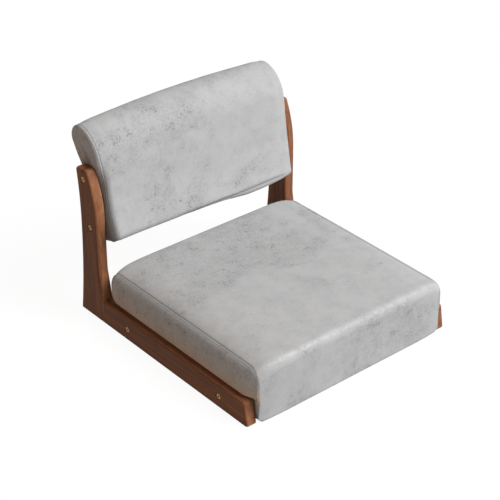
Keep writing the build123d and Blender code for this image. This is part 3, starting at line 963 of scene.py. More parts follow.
@dataclass
class SeatCushion(SewnCover):
    """The boxed seat: one cover panel from rear to front, and a side panel over each rail."""

    front_round: float = 0.017
    corner_round: float = 0.027
    rear_round: float = 0.016
    hem_round: float = 0.005
    bow: float = 0.003
    seam_bow: float = 0.0005
    seam_lift: float = 0.003
    under_reach: float = 0.040
    side_drop: float = 0.036
    front_tuck: float = 0.004
    rear_tuck: tuple[float, float] = (0.021, 0.014)
    side_angles: tuple[float, ...] = (7, 15, 24, 34, 45, 58, 72, 90)
    rail_top: float = 0.0503
    rail_inner: float = 0.2257
    rail_rake: float = 0.17
    front_swell: tuple[float, float] = (0.006, 0.003)
    front_draw: float = 0.8
    lobe_round: float = 0.024
    hem_sag: float = 0.0038
    hem_corner: float = 0.0038
    side_levels: tuple[float, ...] = (
        19, 16, 13, 10.5, 8.5, 7, 5.6, 4.2, 2.9, 1.7, 0.7, -0.3, -3, -10, -18,
    )
    crown_power: float = 11.0
    far_seam: float = 0.4
    seam_start: tuple[float, float] = (0.010, 0.03)
    hem_hold: tuple[float, float] = (0.012, 0.03)
    rail_hold: tuple[float, float] = (0.004, 0.016)
    rail_edge: tuple[float, float] = (-0.001, 0.006)
    rail_clear: tuple[float, float] = (0.002, 0.02)
    lobe_start: float = 0.012
    ahead_fade: tuple[float, float] = (0.001, 0.010)
    corner_fade: tuple[float, float] = (0.002, 0.032)
    corner_start: float = 0.15
    corner_rise: float = 0.014
    hem_fade: tuple[float, float] = (0.006, 0.03)
    hem_rise: float = 0.025
    side_floor: float = 0.03
    side_powers: tuple[float, float, float] = (0.75, 0.95, 0.4)
    fold_power: int = 6
    measured_over: float = 0.06
    stitched_over: float = 0.004
    # Painted shade on the side panel just past the seam.
    strip_shade_mark: float = 0.5
    strip_shade_rise: tuple[float, float] = (-0.001, 0.0005)
    strip_shade_fall: tuple[float, float] = (0.003, 0.011)
    panel_fade: float = 0.008
    front_fade: tuple[float, float] = (0.002, 0.012)
    sat_mark: float = 1.5
    sat_place: float = 0.03
    sat_reach: tuple[float, float] = (0.19, 0.085)
    calm_mark: float = 0.45
    calm_reach: tuple[float, float] = (-0.24, 0.02)
    side_mark: float = 0.9
    front_mark: float = 0.25
    # Painted warm light reflected from the rail onto the left side panel.
    wood_bounce_mark: float = 0.55
    wood_bounce_height: float = 0.045
    wood_bounce_start: float = 0.02
    rub_highlight_mark: float = 0.85
    rub_highlight_fade: float = 0.45
    rub_highlight_reach: tuple[float, float] = (-0.1, 0.2)
    rub_highlight_angle: float = 52.0
    rub_highlight_spread: float = 15.0
    rub_highlight_width: float = 0.007

    def __post_init__(self) -> None:
        """Take the outline from the solid cover panels and the rail."""
        low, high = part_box("seat_cover_wrap")
        side_low, side_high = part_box("seat_cover_right_side")
        self.seam_x = high.x
        self.bottom = low.z
        self.middle = (low.y, high.y, high.z - self.bow)
        self.sewn = (side_low.y, side_high.y, side_high.z - self.bow + self.seam_lift)
        self.reach = side_high.x - high.x
        self.under_y = side_high.y - self.under_reach
        self.rail_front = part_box("right_rail")[0].y

    def outline(self, front: float, rear: float, top: float, bow: float, fold: float) -> np.ndarray:
        """Points of the seat's section, from the lower front corner rearwards, up and forwards.

        Args:
            front: Depth of the front face.
            rear: Depth of the rear face.
            top: Height of the top at its ends.
            bow: How much higher the top is half-way along.
            fold: Radius of the fold between top and front.

        Returns:
            Depth and height of each point.
        """
        rear_z, front_z = top - self.rear_round, top - fold
        run, rise = rear - self.under_y, rear_z - self.bottom
        bulge = (run * run + rise * rise) / (2 * run)
        lowest = -math.degrees(math.asin(rise / bulge))
        flat = line((rear - self.rear_round, top), (front + fold, top), 80)
        share = np.linspace(-1, 1, 80, endpoint=False)
        flat[:, 1] += bow * (1 - share * share)
        hem = (front + self.hem_round, self.bottom + self.hem_round)
        return np.concatenate(
            [
                line((front + self.hem_round, self.bottom), (self.under_y, self.bottom), 40),
                arc((rear - bulge, rear_z), bulge, lowest, 0, 40),
                arc((rear - self.rear_round, rear_z), self.rear_round, 0, 90, 10),
                flat,
                arc((front + fold, front_z), fold, 90, 180, 14),
                line((front, front_z), (front, hem[1]), 44),
                arc(hem, self.hem_round, 180, 270, 4),
            ]
        )

    def loop(self, x: float, front: float, rear: float, top: float, bow: float) -> np.ndarray:
        """The seat's section as points in space at one place across the width.

        Args:
            x: Place across the width.
            front: Depth of the front face.
            rear: Depth of the rear face.
            top: Height of the top at its ends.
            bow: How much higher the top is half-way along.

        Returns:
            The loop.
        """
        corner = min(1.0, max(0.0, -x) / self.seam_x) ** self.fold_power
        fold = self.front_round + (self.corner_round - self.front_round) * corner
        section = self.outline(front, rear, top, bow, fold)
        return np.column_stack([np.full(len(section), x), section])

    def beside_rail(self, ring: np.ndarray) -> np.ndarray:
        """Step a side loop in where the rail stands beside it.

        Args:
            ring: One loop.

        Returns:
            The loop, clear of the rail.
        """
        x, y, z = ring.T
        held = np.clip(x, -self.rail_inner, self.rail_inner)
        return np.column_stack([held + (x - held) * self.above(z), y, z])

    def above(self, z: np.ndarray) -> np.ndarray:
        """0 beside the rail and 1 over it."""
        return smooth_step(*self.rail_edge, z - self.rail_top)

    def lobe(self, ring: np.ndarray) -> np.ndarray:
        """Round off the lower rear end of a side loop where it lies on the rail.

        Args:
            ring: One loop.

        Returns:
            The rounded loop.
        """
        x, y, z = ring.T
        below = np.clip(self.lobe_round - (z - self.rail_top), 0, self.lobe_round)
        cut = self.lobe_round - np.sqrt(self.lobe_round**2 - below**2)
        cut = cut * smooth_step(self.seam_x, self.seam_x + self.lobe_start, np.abs(x))
        return np.column_stack([x, np.minimum(y, y.max() - cut), z])

    def spread(self, ring: np.ndarray) -> np.ndarray:
        """Let the front corners swell past the rails, and draw the side panels in to meet them.

        Args:
            ring: One loop.

        Returns:
            The spread loop.
        """
        x, y, z = ring.T
        ahead = smooth_step(*self.ahead_fade, self.rail_front + self.rail_rake * z - y)
        near = 1 - smooth_step(*self.corner_fade, y - self.sewn[0])
        out = smooth_step(self.corner_start, self.seam_x, np.abs(x))
        out = out * smooth_step(0.0, self.corner_rise, z)
        swell = np.where(x < 0, *self.front_swell) * near * out * np.maximum(self.above(z), ahead)
        draw = self.front_draw * near * np.maximum(np.abs(x) - self.seam_x, 0)
        return np.column_stack([x + np.sign(x) * (swell - draw), y, z])

    def settle(self, ring: np.ndarray) -> np.ndarray:
        """Let the front hem sag towards the floor, with round lower corners.

        Args:
            ring: One loop.

        Returns:
            The settled loop.
        """
        x, y, z = ring.T
        near = 1 - smooth_step(*self.hem_fade, y - self.sewn[0])
        over = np.clip(np.abs(x) - self.seam_x + self.hem_corner, 0, self.hem_corner)
        rise = self.hem_corner - np.sqrt(self.hem_corner**2 - over**2)
        low = 1 - smooth_step(self.bottom, self.bottom + self.hem_rise, z)
        sag = self.hem_sag * (1 - x / (4 * self.seam_x))
        return np.column_stack([x, y, z + (rise - sag) * near * low])

    def panel(self, side: int) -> list[np.ndarray]:
        """Loops of one side panel, from its seam outwards and down over the rail.

        Args:
            side: -1 for the left panel and 1 for the right.

        Returns:
            The loops.
        """
        rings: list[np.ndarray] = []
        front, rear, top = self.sewn
        out_power, drop_power, end_power = self.side_powers
        for angle in np.radians(self.side_angles):
            share = 1 - math.cos(angle)
            tuck = self.front_tuck * share
            x = side * (self.seam_x + self.reach * math.sin(angle) ** out_power)
            drawn = rear - self.rear_tuck[side > 0] * share
            level = top - self.side_drop * share**drop_power
            rings.append(self.loop(x, front + tuck, drawn, level, self.seam_bow))
        outer = rings[-1]
        centre, floor, flat = (front + rear) / 2, self.side_floor, top - self.side_drop
        for level in self.rail_top + np.array(self.side_levels) / 1000:
            share = (level - floor) / (flat - floor)
            low = floor + (np.minimum(outer[:, 2], flat) - floor) * share
            deep = centre + (outer[:, 1] - centre) * share**end_power
            rings.append(np.column_stack([outer[:, 0], deep, low]))
        return [self.settle(self.spread(self.beside_rail(self.lobe(ring)))) for ring in rings]

    def form(self) -> tuple[np.ndarray, tuple[int, int]]:
        """Lay out the closed cover before it is filled.

        Returns:
            The loops from the left side to the right, and the columns of the two seams.
        """
        left, right = self.panel(-1), self.panel(1)
        count = round(2 * self.seam_x / self.column_step)
        wrap = []
        for u in np.linspace(-1, 1, count + 1):
            share = 1 - abs(u) ** self.crown_power
            front, rear, top = (a + (b - a) * share for a, b in zip(self.sewn, self.middle))
            bow = self.seam_bow + (self.bow - self.seam_bow) * share
            wrap.append(self.settle(self.spread(self.loop(u * self.seam_x, front, rear, top, bow))))
        return np.array(left[::-1] + wrap + right), (len(left), len(left) + count)

    def build(self) -> list[bpy.types.Object]:
        """Fill the cover, sew its seams and lay the topstitching.

        The filling leaves this cover as it is cut: some of its neighbouring points coincide, and the
        simulation then moves nothing.

        Returns:
            The cushion and its stitches.
        """
        loops, seams = self.form()
        loops = self.fill(loops, self.hold(loops, seams))
        loops, distance = self.refine(loops, seams, loops[seams[0], :, 2] > self.measured_over)
        body = smooth_step(*self.seam_start, loops[:, :, 2])
        body = body * np.where(loops[:, :, 0] > 0, self.far_seam, 1)
        loops = loops + normals_of(loops) * (self.seam.lift(distance)[:, None] * body)[:, :, None]
        loops[:, :, 0] = self.off_rail(loops)
        # Painted shade on the first millimetres of the side panel past the seam, weaker on the right
        # side.
        strip_shade = self.strip_shade_mark * smooth_step(*self.strip_shade_rise, distance)
        strip_shade = strip_shade * (1 - smooth_step(*self.strip_shade_fall, distance))
        crease_shade = np.maximum(self.seam.shade(distance), strip_shade)[:, None] * body
        shown = loops[len(loops) // 2, :, 2] > self.rail_top + self.stitched_over
        rows = self.stitches("seat", loops, distance, shown)
        marks = {"wear_and_highlight": self.wear_and_highlight(loops), "crease_shade": crease_shade}
        marks |= {"smudge": self.smudge(loops), "wood_bounce_light": self.wood_bounce_light(loops)}
        return [self.cut("seat_cushion", loops, marks), *rows]

    def hold(self, loops: np.ndarray, seams: tuple[int, int]) -> np.ndarray:
        """How firmly the cover is held while it fills: at its hem, its seams and beside the rails.

        Args:
            loops: The cover as it is cut.
            seams: Columns of the left and the right seam.

        Returns:
            The hold of each point, from 0 to 1.
        """
        x, z = np.abs(loops[:, :, 0]), loops[:, :, 2]
        low, high = self.rail_hold
        beside = 1 - smooth_step(self.rail_top + low, self.rail_top + high, z)
        beside = beside * (x > self.seam_x - 1e-4)
        pins = np.maximum(1 - smooth_step(*self.hem_hold, z), beside)
        pins[list(seams)] = 1.0
        return pins

    def off_rail(self, loops: np.ndarray) -> np.ndarray:
        """Keep the side panels clear of the rails' inner faces.

        Args:
            loops: The sewn cover.

        Returns:
            Each point's place across the width.
        """
        x, y, z = np.moveaxis(loops, 2, 0)
        below, behind = self.rail_clear
        held = (z < self.rail_top - below) & (y > self.rail_front + behind)
        return np.where(held, np.clip(x, -self.rail_inner, self.rail_inner), x)

    def on_panel(self, loops: np.ndarray) -> np.ndarray:
        """1 on the side panels and 0 on the wrap."""
        return smooth_step(self.seam_x, self.seam_x + self.panel_fade, np.abs(loops[:, :, 0]))

    def smudge(self, loops: np.ndarray) -> np.ndarray:
        """How cloudy the cloth is: most where it is sat on and on the side panels.

        Args:
            loops: The finished cover.

        Returns:
            The cloudiness of each point.
        """
        x, y = np.abs(loops[:, :, 0]), loops[:, :, 1]
        wide, deep = self.sat_reach
        sat_on = self.sat_mark * np.exp(-((x / wide) ** 2) - ((y - self.sat_place) / deep) ** 2)
        calm = self.calm_mark * (1 - smooth_step(*self.calm_reach, y))
        beside = self.on_panel(loops)
        front = 1 - smooth_step(*self.front_fade, y - self.sewn[0])
        top = (sat_on - calm) * (1 - np.maximum(beside, front))
        return top + self.side_mark * beside + self.front_mark * front * (1 - beside)

    def wood_bounce_light(self, loops: np.ndarray) -> np.ndarray:
        """How much painted warm light, reflected from the wood, tints the left side panel just above
        the rail.

        Args:
            loops: The finished cover.

        Returns:
            The stain at each point.
        """
        z = loops[:, :, 2]
        left = 1 - smooth_step(-0.01, 0.01, loops[:, :, 0])
        low = smooth_step(self.rail_top - self.wood_bounce_start, self.rail_top, z)
        fade = smooth_step(self.rail_top, self.rail_top + self.wood_bounce_height, z)
        return self.wood_bounce_mark * left * self.on_panel(loops) * (low - fade)

    def wear_and_highlight(self, loops: np.ndarray) -> np.ndarray:
        """How worn the cloth is, with a painted highlight: most along the fold between top and
        front.

        Args:
            loops: The finished cover.

        Returns:
            The wear at each point.
        """
        back = loops[:, :, 1] - self.middle[0] - self.front_round
        up = loops[:, :, 2] - self.middle[2] + self.front_round
        angle = np.degrees(np.arctan2(up, -back))
        near = np.exp(-(((np.hypot(back, up) - self.front_round) / self.rub_highlight_width) ** 2))
        # The painted highlight fades to the right, where the key light already brightens the fold.
        rub_highlight = self.rub_highlight_mark - self.rub_highlight_fade * smooth_step(*self.rub_highlight_reach, loops[:, :, 0])
        return rub_highlight * near * np.exp(-(((angle - self.rub_highlight_angle) / self.rub_highlight_spread) ** 2))


@dataclass
class BackCushion(SewnCover):
    """The leaning back: a cover panel over front, rolled top and rear, and two end panels."""

    insert_radius: float = 0.005
    front: float = -0.0305
    kick_start: float = 0.060
    kick_turn: float = 17.0
    rear: float = 0.030
    foot: float = -0.033
    foot_swell: float = 0.006
    foot_round: float = 0.012
    sag: float = 0.008
    crown: float = 0.005
    shoulder_s: float = 0.136
    shoulder_round: float = 0.064
    shoulder_turn: float = 75.5
    roll_round: float = 0.028
    roll_tuck: float = 21.7
    neck_round: float = 0.060
    end_draw: float = 0.0015
    end_bulge: float = 0.0045
    strip_bulge: float = 0.3
    end_rise: float = 0.003
    corner_draw: tuple[float, float] = (0.005, -0.0045)
    foot_draw: float = 0.004
    far_turn: int = 5
    end_insets: tuple[float, ...] = (0.5, 1.1, 1.8, 2.7, 3.8, 5, 6.5, 8.5, 11, 14, 17.5, 21, 25)
    post_front: float = 0.17418
    post_rear: float = 0.22618
    post_waist: float = 0.21684
    post_front_bend: float = 0.2417
    post_rear_bend: float = 0.693
    post_edge: float = 0.005
    post_gap: float = 0.002
    post_slope: float = 1.5
    hang_blend: float = 0.015
    wrap_edges: tuple[float, float] = (0.9, 0.88)
    panel_rise: float = 0.002
    drawn_inset: float = 0.008
    facing_reach: tuple[float, float] = (0.004, 0.02)
    over_post: tuple[float, float] = (-0.03, 0.015)
    corner_height: tuple[float, float] = (-0.03, 0.05)
    swell_height: tuple[float, float] = (-0.02, 0.04)
    foot_height: tuple[float, float] = (-0.04, 0.005)
    post_shade: tuple[float, float] = (-0.04, 0.02)
    tuck_reach: tuple[float, float, float, float] = (-0.10, 0.08, 0.18, 0.215)
    tuck_depth: float = 0.0022
    tuck_height: float = 0.006
    tuck_width: float = 0.0017
    # Painted shade: in the tuck under the foot, along the seams beside the uprights, and in a strip
    # beside the left upright.
    tuck_shade_mark: float = 0.8
    low_shade_mark: float = 1.4
    strip_shade_mark: float = 0.95
    strip_shade_reach: float = 0.016
    end_mark: float = 1.2
    front_mark: float = 0.15
    lean_mark: float = 0.4
    lean_place: tuple[float, float] = (-0.1, 0.23)
    lean_reach: tuple[float, float] = (0.12, 0.05)
    # Cloud along the roll, partly the cloth's mottling and partly painted shade.
    roll_cloud_and_shade: float = 0.6
    roll_rise: float = 0.04
    roll_fade: float = 0.5
    fade_reach: tuple[float, float] = (-0.08, 0.1)
    far_calm: float = 0.3
    calm_reach: tuple[float, float] = (-0.04, 0.16)
    droop: tuple[tuple[float, float], ...] = (
        (-224, -0.4), (-200, -1.8), (-160, -2.8), (-100, -2.6), (-30, -1.6), (20, -0.4),
        (50, 1.0), (75, 4.0), (95, 6.8), (115, 8.6), (135, 9.2), (155, 8.8), (175, 8.2),
        (205, 6.6), (224, 5.4),
    )

    def __post_init__(self) -> None:
        """Take place and lean from the bolts' inserts, and the width from the solid panels."""
        low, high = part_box("back_inserts")
        self.origin = np.array([low.y + self.insert_radius, low.z + self.insert_radius])
        upper = np.array([high.y - self.insert_radius, high.z - self.insert_radius])
        self.up = (upper - self.origin) / np.linalg.norm(upper - self.origin)
        self.back = np.array([self.up[1], -self.up[0]])
        self.end_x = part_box("back_cover_wrap")[1].x
        self.panel_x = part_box("back_cover_right_end")[1].x
        self.frame_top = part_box("left_upright")[1].z

    def hang(self, x: float) -> float:
        """How far the foot hangs below its even curve.

        Args:
            x: Place across the width.

        Returns:
            The drop.
        """
        places, falls = np.array(self.droop).T / 1000
        near = x + np.linspace(-self.hang_blend, self.hang_blend, 13)
        return float(np.interp(near, places, falls).mean())

    def outline(self, x: float, share: float, inset: float) -> np.ndarray:
        """Points of the back's section, from the rear of its foot over the roll and down the front.

        Args:
            x: Place across the width.
            share: 1 at mid width and 0 at the ends.
            inset: How far the section is drawn in.

        Returns:
            Each point's place across and along the lean.
        """
        shift, rise = self.sag * share, self.crown * share
        foot = self.foot - self.foot_swell * share - self.hang(x)
        reach = (self.kick_start - foot - self.foot_round) / math.sin(math.radians(self.kick_turn))
        kick = (self.front + shift - reach + self.foot_round, self.kick_start)
        foot += inset
        foot_round = max(self.foot_round - inset, 0.002)
        kick_round = reach - self.foot_round + inset
        front, rear = self.front + shift + inset, self.rear + shift - inset
        shoulder_round, roll_round = self.shoulder_round - inset, self.roll_round - inset
        neck_round = self.neck_round + inset
        turn, tuck = math.radians(180 - self.shoulder_turn), math.radians(self.roll_tuck)
        step = self.shoulder_round - self.roll_round
        shoulder = (self.front + shift + self.shoulder_round, self.shoulder_s + rise)
        roll = (shoulder[0] + step * math.cos(turn), shoulder[1] + step * math.sin(turn))
        edge = roll[0] * math.cos(tuck) - roll[1] * math.sin(tuck) + roll_round
        neck_n = rear + neck_round
        neck = (neck_n, (neck_n * math.cos(tuck) - neck_round - edge) / math.sin(tuck))
        low = foot + foot_round
        drop = (self.kick_start - low) / (kick_round + foot_round)
        toe = (kick[0] + (kick_round + foot_round) * math.sqrt(1 - drop * drop), low)
        kicked = math.degrees(math.asin(drop))
        roll_angle = 180 - self.shoulder_turn
        top_end = arc(roll, roll_round, -self.roll_tuck, 0, 1)[0]
        neck_start = arc(neck, neck_round, 180 - self.roll_tuck, 0, 1)[0]
        return np.concatenate(
            [
                arc(kick, kick_round, -kicked, 0, 28),
                line((front, self.kick_start), (front, shoulder[1]), 20),
                arc(shoulder, shoulder_round, 180, roll_angle, 18),
                arc(roll, roll_round, roll_angle, -self.roll_tuck, 16),
                line(tuple(top_end), tuple(neck_start), 8),
                arc(neck, neck_round, 180 - self.roll_tuck, 180, 6),
                line((rear, neck[1]), (rear, low), 22),
                arc((rear - foot_round, low), foot_round, 0, -90, 6),
                line((rear - foot_round, foot), (toe[0], foot), 8),
                arc(toe, foot_round, -90, -180 - kicked, 9),
            ]
        )[::-1]

    def loop(self, x: float, share: float, inset: float) -> np.ndarray:
        """The back's section as points in space at one place across the width.

        Args:
            x: Place across the width.
            share: 1 at mid width and 0 at the ends.
            inset: How far the section is drawn in.

        Returns:
            The loop.
        """
        section = self.outline(x, share, inset)
        place = self.origin + section[:, :1] * self.back + section[:, 1:] * self.up
        return np.column_stack([np.full(len(section), x), place])

    def room(self, ring: np.ndarray) -> np.ndarray:
        """How far the end panel may stand out before it meets the upright.

        Args:
            ring: One loop.

        Returns:
            The room at each point.
        """
        y, z = ring[:, 1], ring[:, 2]
        rise = z - self.post_waist
        bend = self.post_front_bend
        front = self.post_front + bend - np.sqrt(bend**2 - np.maximum(rise, 0) ** 2)
        bend = self.post_rear_bend
        rear = self.post_rear + bend - np.sqrt(bend**2 - np.clip(rise, 0, bend) ** 2)
        clear = np.maximum(np.maximum(front - y, y - rear), z - self.frame_top)
        within = np.clip(clear + self.post_edge, 0, self.post_edge)
        edge = self.post_edge - np.sqrt(self.post_edge**2 - within**2)
        return edge + self.post_slope * np.maximum(clear, 0)

    def ends(self, side: int) -> list[np.ndarray]:
        """Loops of one end panel, from its seam inwards.

        Args:
            side: -1 for the left end and 1 for the right.

        Returns:
            The loops.
        """
        rings = []
        thick = self.panel_x - self.end_x
        for inset in np.array(self.end_insets) / 1000:
            ring = self.loop(side * self.end_x, 0.0, self.end_draw + inset)
            swell = 1 - (1 - min(1.0, inset / self.end_rise)) ** 2
            free = smooth_step(*self.over_post, ring[:, 2] - self.frame_top)
            swell *= self.end_bulge * (self.strip_bulge + (1 - self.strip_bulge) * free)
            bulge = np.minimum(swell, self.room(ring))
            base = thick * (1 - (1 - min(1.0, inset / self.panel_rise)) ** 2)
            ring[:, 0] = side * (self.end_x + base + bulge)
            share = 1 - float(smooth_step(0.0, self.drawn_inset, np.array(inset)))
            rings.append(self.drawn(ring, share))
        return rings

    def drawn(self, ring: np.ndarray, share: float) -> np.ndarray:
        """Draw the left front corner in beside the upright, and let the right one swell over it.

        Args:
            ring: One loop.
            share: 1 at the seam and 0 where the move ends.

        Returns:
            The loop with its front corner moved.
        """
        across = (ring[:, 1:] - self.origin) @ self.back - self.front
        facing = 1 - smooth_step(*self.facing_reach, across)
        low = 1 - smooth_step(*self.corner_height, ring[:, 2] - self.frame_top)
        right = bool(ring[0, 0] > 0)
        shift = self.corner_draw[right] * share * facing * low
        if right:
            height = (ring[:, 1:] - self.origin) @ self.up
            shift = shift * smooth_step(*self.swell_height, height)
            shift = shift + self.foot_draw * share * (1 - smooth_step(*self.foot_height, height))
            shift = np.maximum(shift, -np.maximum(self.room(ring) - self.post_gap, 0))
        return ring - np.outer(shift, (math.copysign(1, ring[0, 0]), 0, 0))

    def form(self) -> tuple[np.ndarray, tuple[int, int]]:
        """Lay out the closed cover before it is filled.

        Returns:
            The loops from the left end to the right, and the columns of the two seams.
        """
        left, right = self.ends(-1), self.ends(1)
        count = round(2 * self.end_x / self.column_step)
        wrap = []
        for u in np.linspace(-1, 1, count + 1):
            draw, edge = (float(smooth_step(s, 1.0, np.array(abs(u)))) for s in self.wrap_edges)
            ring = self.loop(u * self.end_x, 1 - u * u, self.end_draw * draw)
            wrap.append(self.drawn(ring, edge))
        return np.array(left[::-1] + wrap + right), (len(left), len(left) + count + self.far_turn)

    def build(self) -> list[bpy.types.Object]:
        """Fill the cover, sew its seams and lay the topstitching.

        Returns:
            The cushion and its stitches.
        """
        loops, seams = self.form()
        pins = np.zeros(loops.shape[:2])
        pins[: seams[0] + 1] = pins[seams[1] - self.far_turn :] = 1.0
        loops = self.fill(loops, pins)
        shown = np.ones(loops.shape[1], bool)
        loops, distance = self.refine(loops, seams, shown)
        tuck = self.tuck(loops)
        low = 1 - smooth_step(*self.post_shade, loops[:, :, 2] - self.frame_top)
        lift = self.seam.lift(distance)[:, None] - self.tuck_depth * tuck
        lift = np.where((low > 0) & (loops[:, :, 0] > 0), np.minimum(lift, 0), lift)
        loops = loops + normals_of(loops) * lift[:, :, None]
        # Painted shade: seams darker beside the uprights, the tuck under the foot darkened, and a
        # strip beside the left upright.
        shade = self.seam.shade(distance)[:, None] * (1 + self.low_shade_mark * low)
        strip_shade = self.strip_shade_mark * smooth_step(-self.strip_shade_reach, 0.001, distance)[:, None]
        strip_shade = strip_shade * low * (loops[:, :, 0] < 0)
        crease_shade = np.maximum(np.maximum(shade, self.tuck_shade_mark * tuck), strip_shade)
        shown[0] = False
        rows = self.stitches("back", loops, distance, shown)
        marks = {"crease_shade": crease_shade, "smudge": self.smudge(loops, distance)}
        return [self.cut("back_cushion", loops, marks), *rows]

    def smudge(self, loops: np.ndarray, distance: np.ndarray) -> np.ndarray:
        """How cloudy the cloth is: most on the end panels and along the roll, where the cloud is
        partly painted shade.

        Args:
            loops: The finished cover.
            distance: Each loop's signed distance from the nearer seam.

        Returns:
            The cloudiness of each point.
        """
        x, z = loops[:, :, 0], loops[:, :, 2]
        (across, height), (wide, tall) = self.lean_place, self.lean_reach
        leant = self.lean_mark * np.exp(-(((x - across) / wide) ** 2) - ((z - height) / tall) ** 2)
        # Cloud along the roll, partly the cloth's mottling and partly painted shade that dims the
        # upward-facing roll.
        roll = self.roll_cloud_and_shade * smooth_step(0.0, self.roll_rise, z - self.frame_top)
        roll = roll * (1 - self.roll_fade * smooth_step(*self.fade_reach, x))
        roll = roll - self.far_calm * smooth_step(*self.calm_reach, x)
        ends = self.end_mark * smooth_step(-0.0005, 0.001, distance)[:, None]
        return np.where(ends > 0, ends, self.front_mark + leant + roll)

    def tuck(self, loops: np.ndarray) -> np.ndarray:
        """Depth of the fold where the drooping foot tucks under the front face; it also sets that
        fold's painted shade.

        Args:
            loops: The filled cover.

        Returns:
            The depth at each point, from 0 to 1.
        """
        x = loops[:, :, 0]
        flat = (loops[:, :, 1:] - self.origin) @ np.stack([self.back, self.up], axis=1)
        share = 1 - (x / self.end_x) ** 2
        height = flat[:, :, 1] - (self.foot - self.foot_swell * share + self.tuck_height)
        reach = smooth_step(*self.tuck_reach[:2], x) * (1 - smooth_step(*self.tuck_reach[2:], x))
        facing = flat[:, :, 0] < self.front + self.sag * share + self.foot_round
        return np.exp(-((height / self.tuck_width) ** 2)) * reach * facing


@dataclass
class Underside:
    """The lining under the seat and the staples that hold it."""

    lining: bpy.types.Material
    steel: bpy.types.Material
    sag: float = 0.0015
    thin: float = 0.0001
    inset: float = 0.008
    corner: float = 0.018
    grid: tuple[int, int] = (61, 51)
    per_end: int = 6
    per_side: int = 5
    staple_width: float = 0.010
    staple_wire: float = 0.0008
    staple_leg: float = 0.0012

    def build(self) -> list[bpy.types.Object]:
        """Hang the lining and drive its staples.

        Returns:
            The lining and the staples.
        """
        low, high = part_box("seat_dust_cover")
        size = (high.x - low.x, high.y - low.y)
        wide, deep = self.grid
        x, y = np.meshgrid(np.linspace(low.x, high.x, wide), np.linspace(low.y, high.y, deep))
        u, v = (x - low.x) / size[0], (y - low.y) / size[1]
        dip = self.sag * np.sin(np.pi * u) * np.sin(np.pi * v)
        heights = (low.z - dip, high.z - dip - self.thin)
        sheets = [np.stack([x, y, z], axis=2).reshape(-1, 3) for z in heights]
        count = x.size
        rows, columns = x.shape
        faces = []
        for r in range(rows - 1):
            for c in range(columns - 1):
                a = r * columns + c
                faces.append((a, a + columns, a + columns + 1, a + 1))
                faces.append(tuple(i + count for i in (a, a + 1, a + columns + 1, a + columns)))
        rim = [*range(columns), *(r * columns + columns - 1 for r in range(1, rows))]
        rim += [(rows - 1) * columns + c for c in range(columns - 2, -1, -1)]
        rim += [r * columns for r in range(rows - 2, 0, -1)]
        for a, b in zip(rim, rim[1:] + rim[:1]):
            faces.append((a, b, b + count, a + count))
        piece = new_piece("seat_lining", np.concatenate(sheets), faces, self.lining)
        return [piece, self.staples(low, high)]

    def staples(self, low: Vector, high: Vector) -> bpy.types.Object:
        """Drive the staples round the lining's edge, as the solid ones lie.

        Args:
            low: The lining's lowest corner.
            high: The lining's highest corner.

        Returns:
            The staples.
        """
        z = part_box("seat_staples")[0].z + self.staple_wire / 2
        spots: list[tuple[float, float, float]] = []
        window = (high.x - low.x) / 2 - self.corner
        for y in (low.y + self.inset, high.y - self.inset):
            step = 2 * window / self.per_end
            spots += [(-window + step * (i + 0.5), y, 0.0) for i in range(self.per_end)]
        depth = (low.y + self.corner, high.y - self.corner)
        for x in (low.x + self.inset, high.x - self.inset):
            step = (depth[1] - depth[0]) / self.per_side
            spots += [(x, depth[0] + step * (i + 0.5), math.pi / 2) for i in range(self.per_side)]
        base = bpy.data.meshes.new("staple_spots")
        base.from_pydata([(x, y, z) for x, y, _ in spots], [], [])
        heading = base.attributes.new("heading", "FLOAT", "POINT")
        heading.data.foreach_set("value", np.array([turn for _, _, turn in spots], np.float32))
        tool = staple_tool(self.staple_width - self.staple_wire, self.staple_wire, self.staple_leg)
        return tool.apply("lining_staples", base, self.steel)


@dataclass
class Hardware:
    """Solid parts that keep their shape and get the same finish."""

    finish: bpy.types.Material
    names: tuple[str, ...]

    def dress(self, nodes: dict[str, bpy.types.Object]) -> None:
        """Give each named solid its finish.

        Args:
            nodes: The solids by name.
        """
        for name in self.names:
            solid = nodes[name]
            solid.data.materials.clear()
            solid.data.materials.append(self.finish)
            log.info("dressed %s in %s", name, self.finish.name)


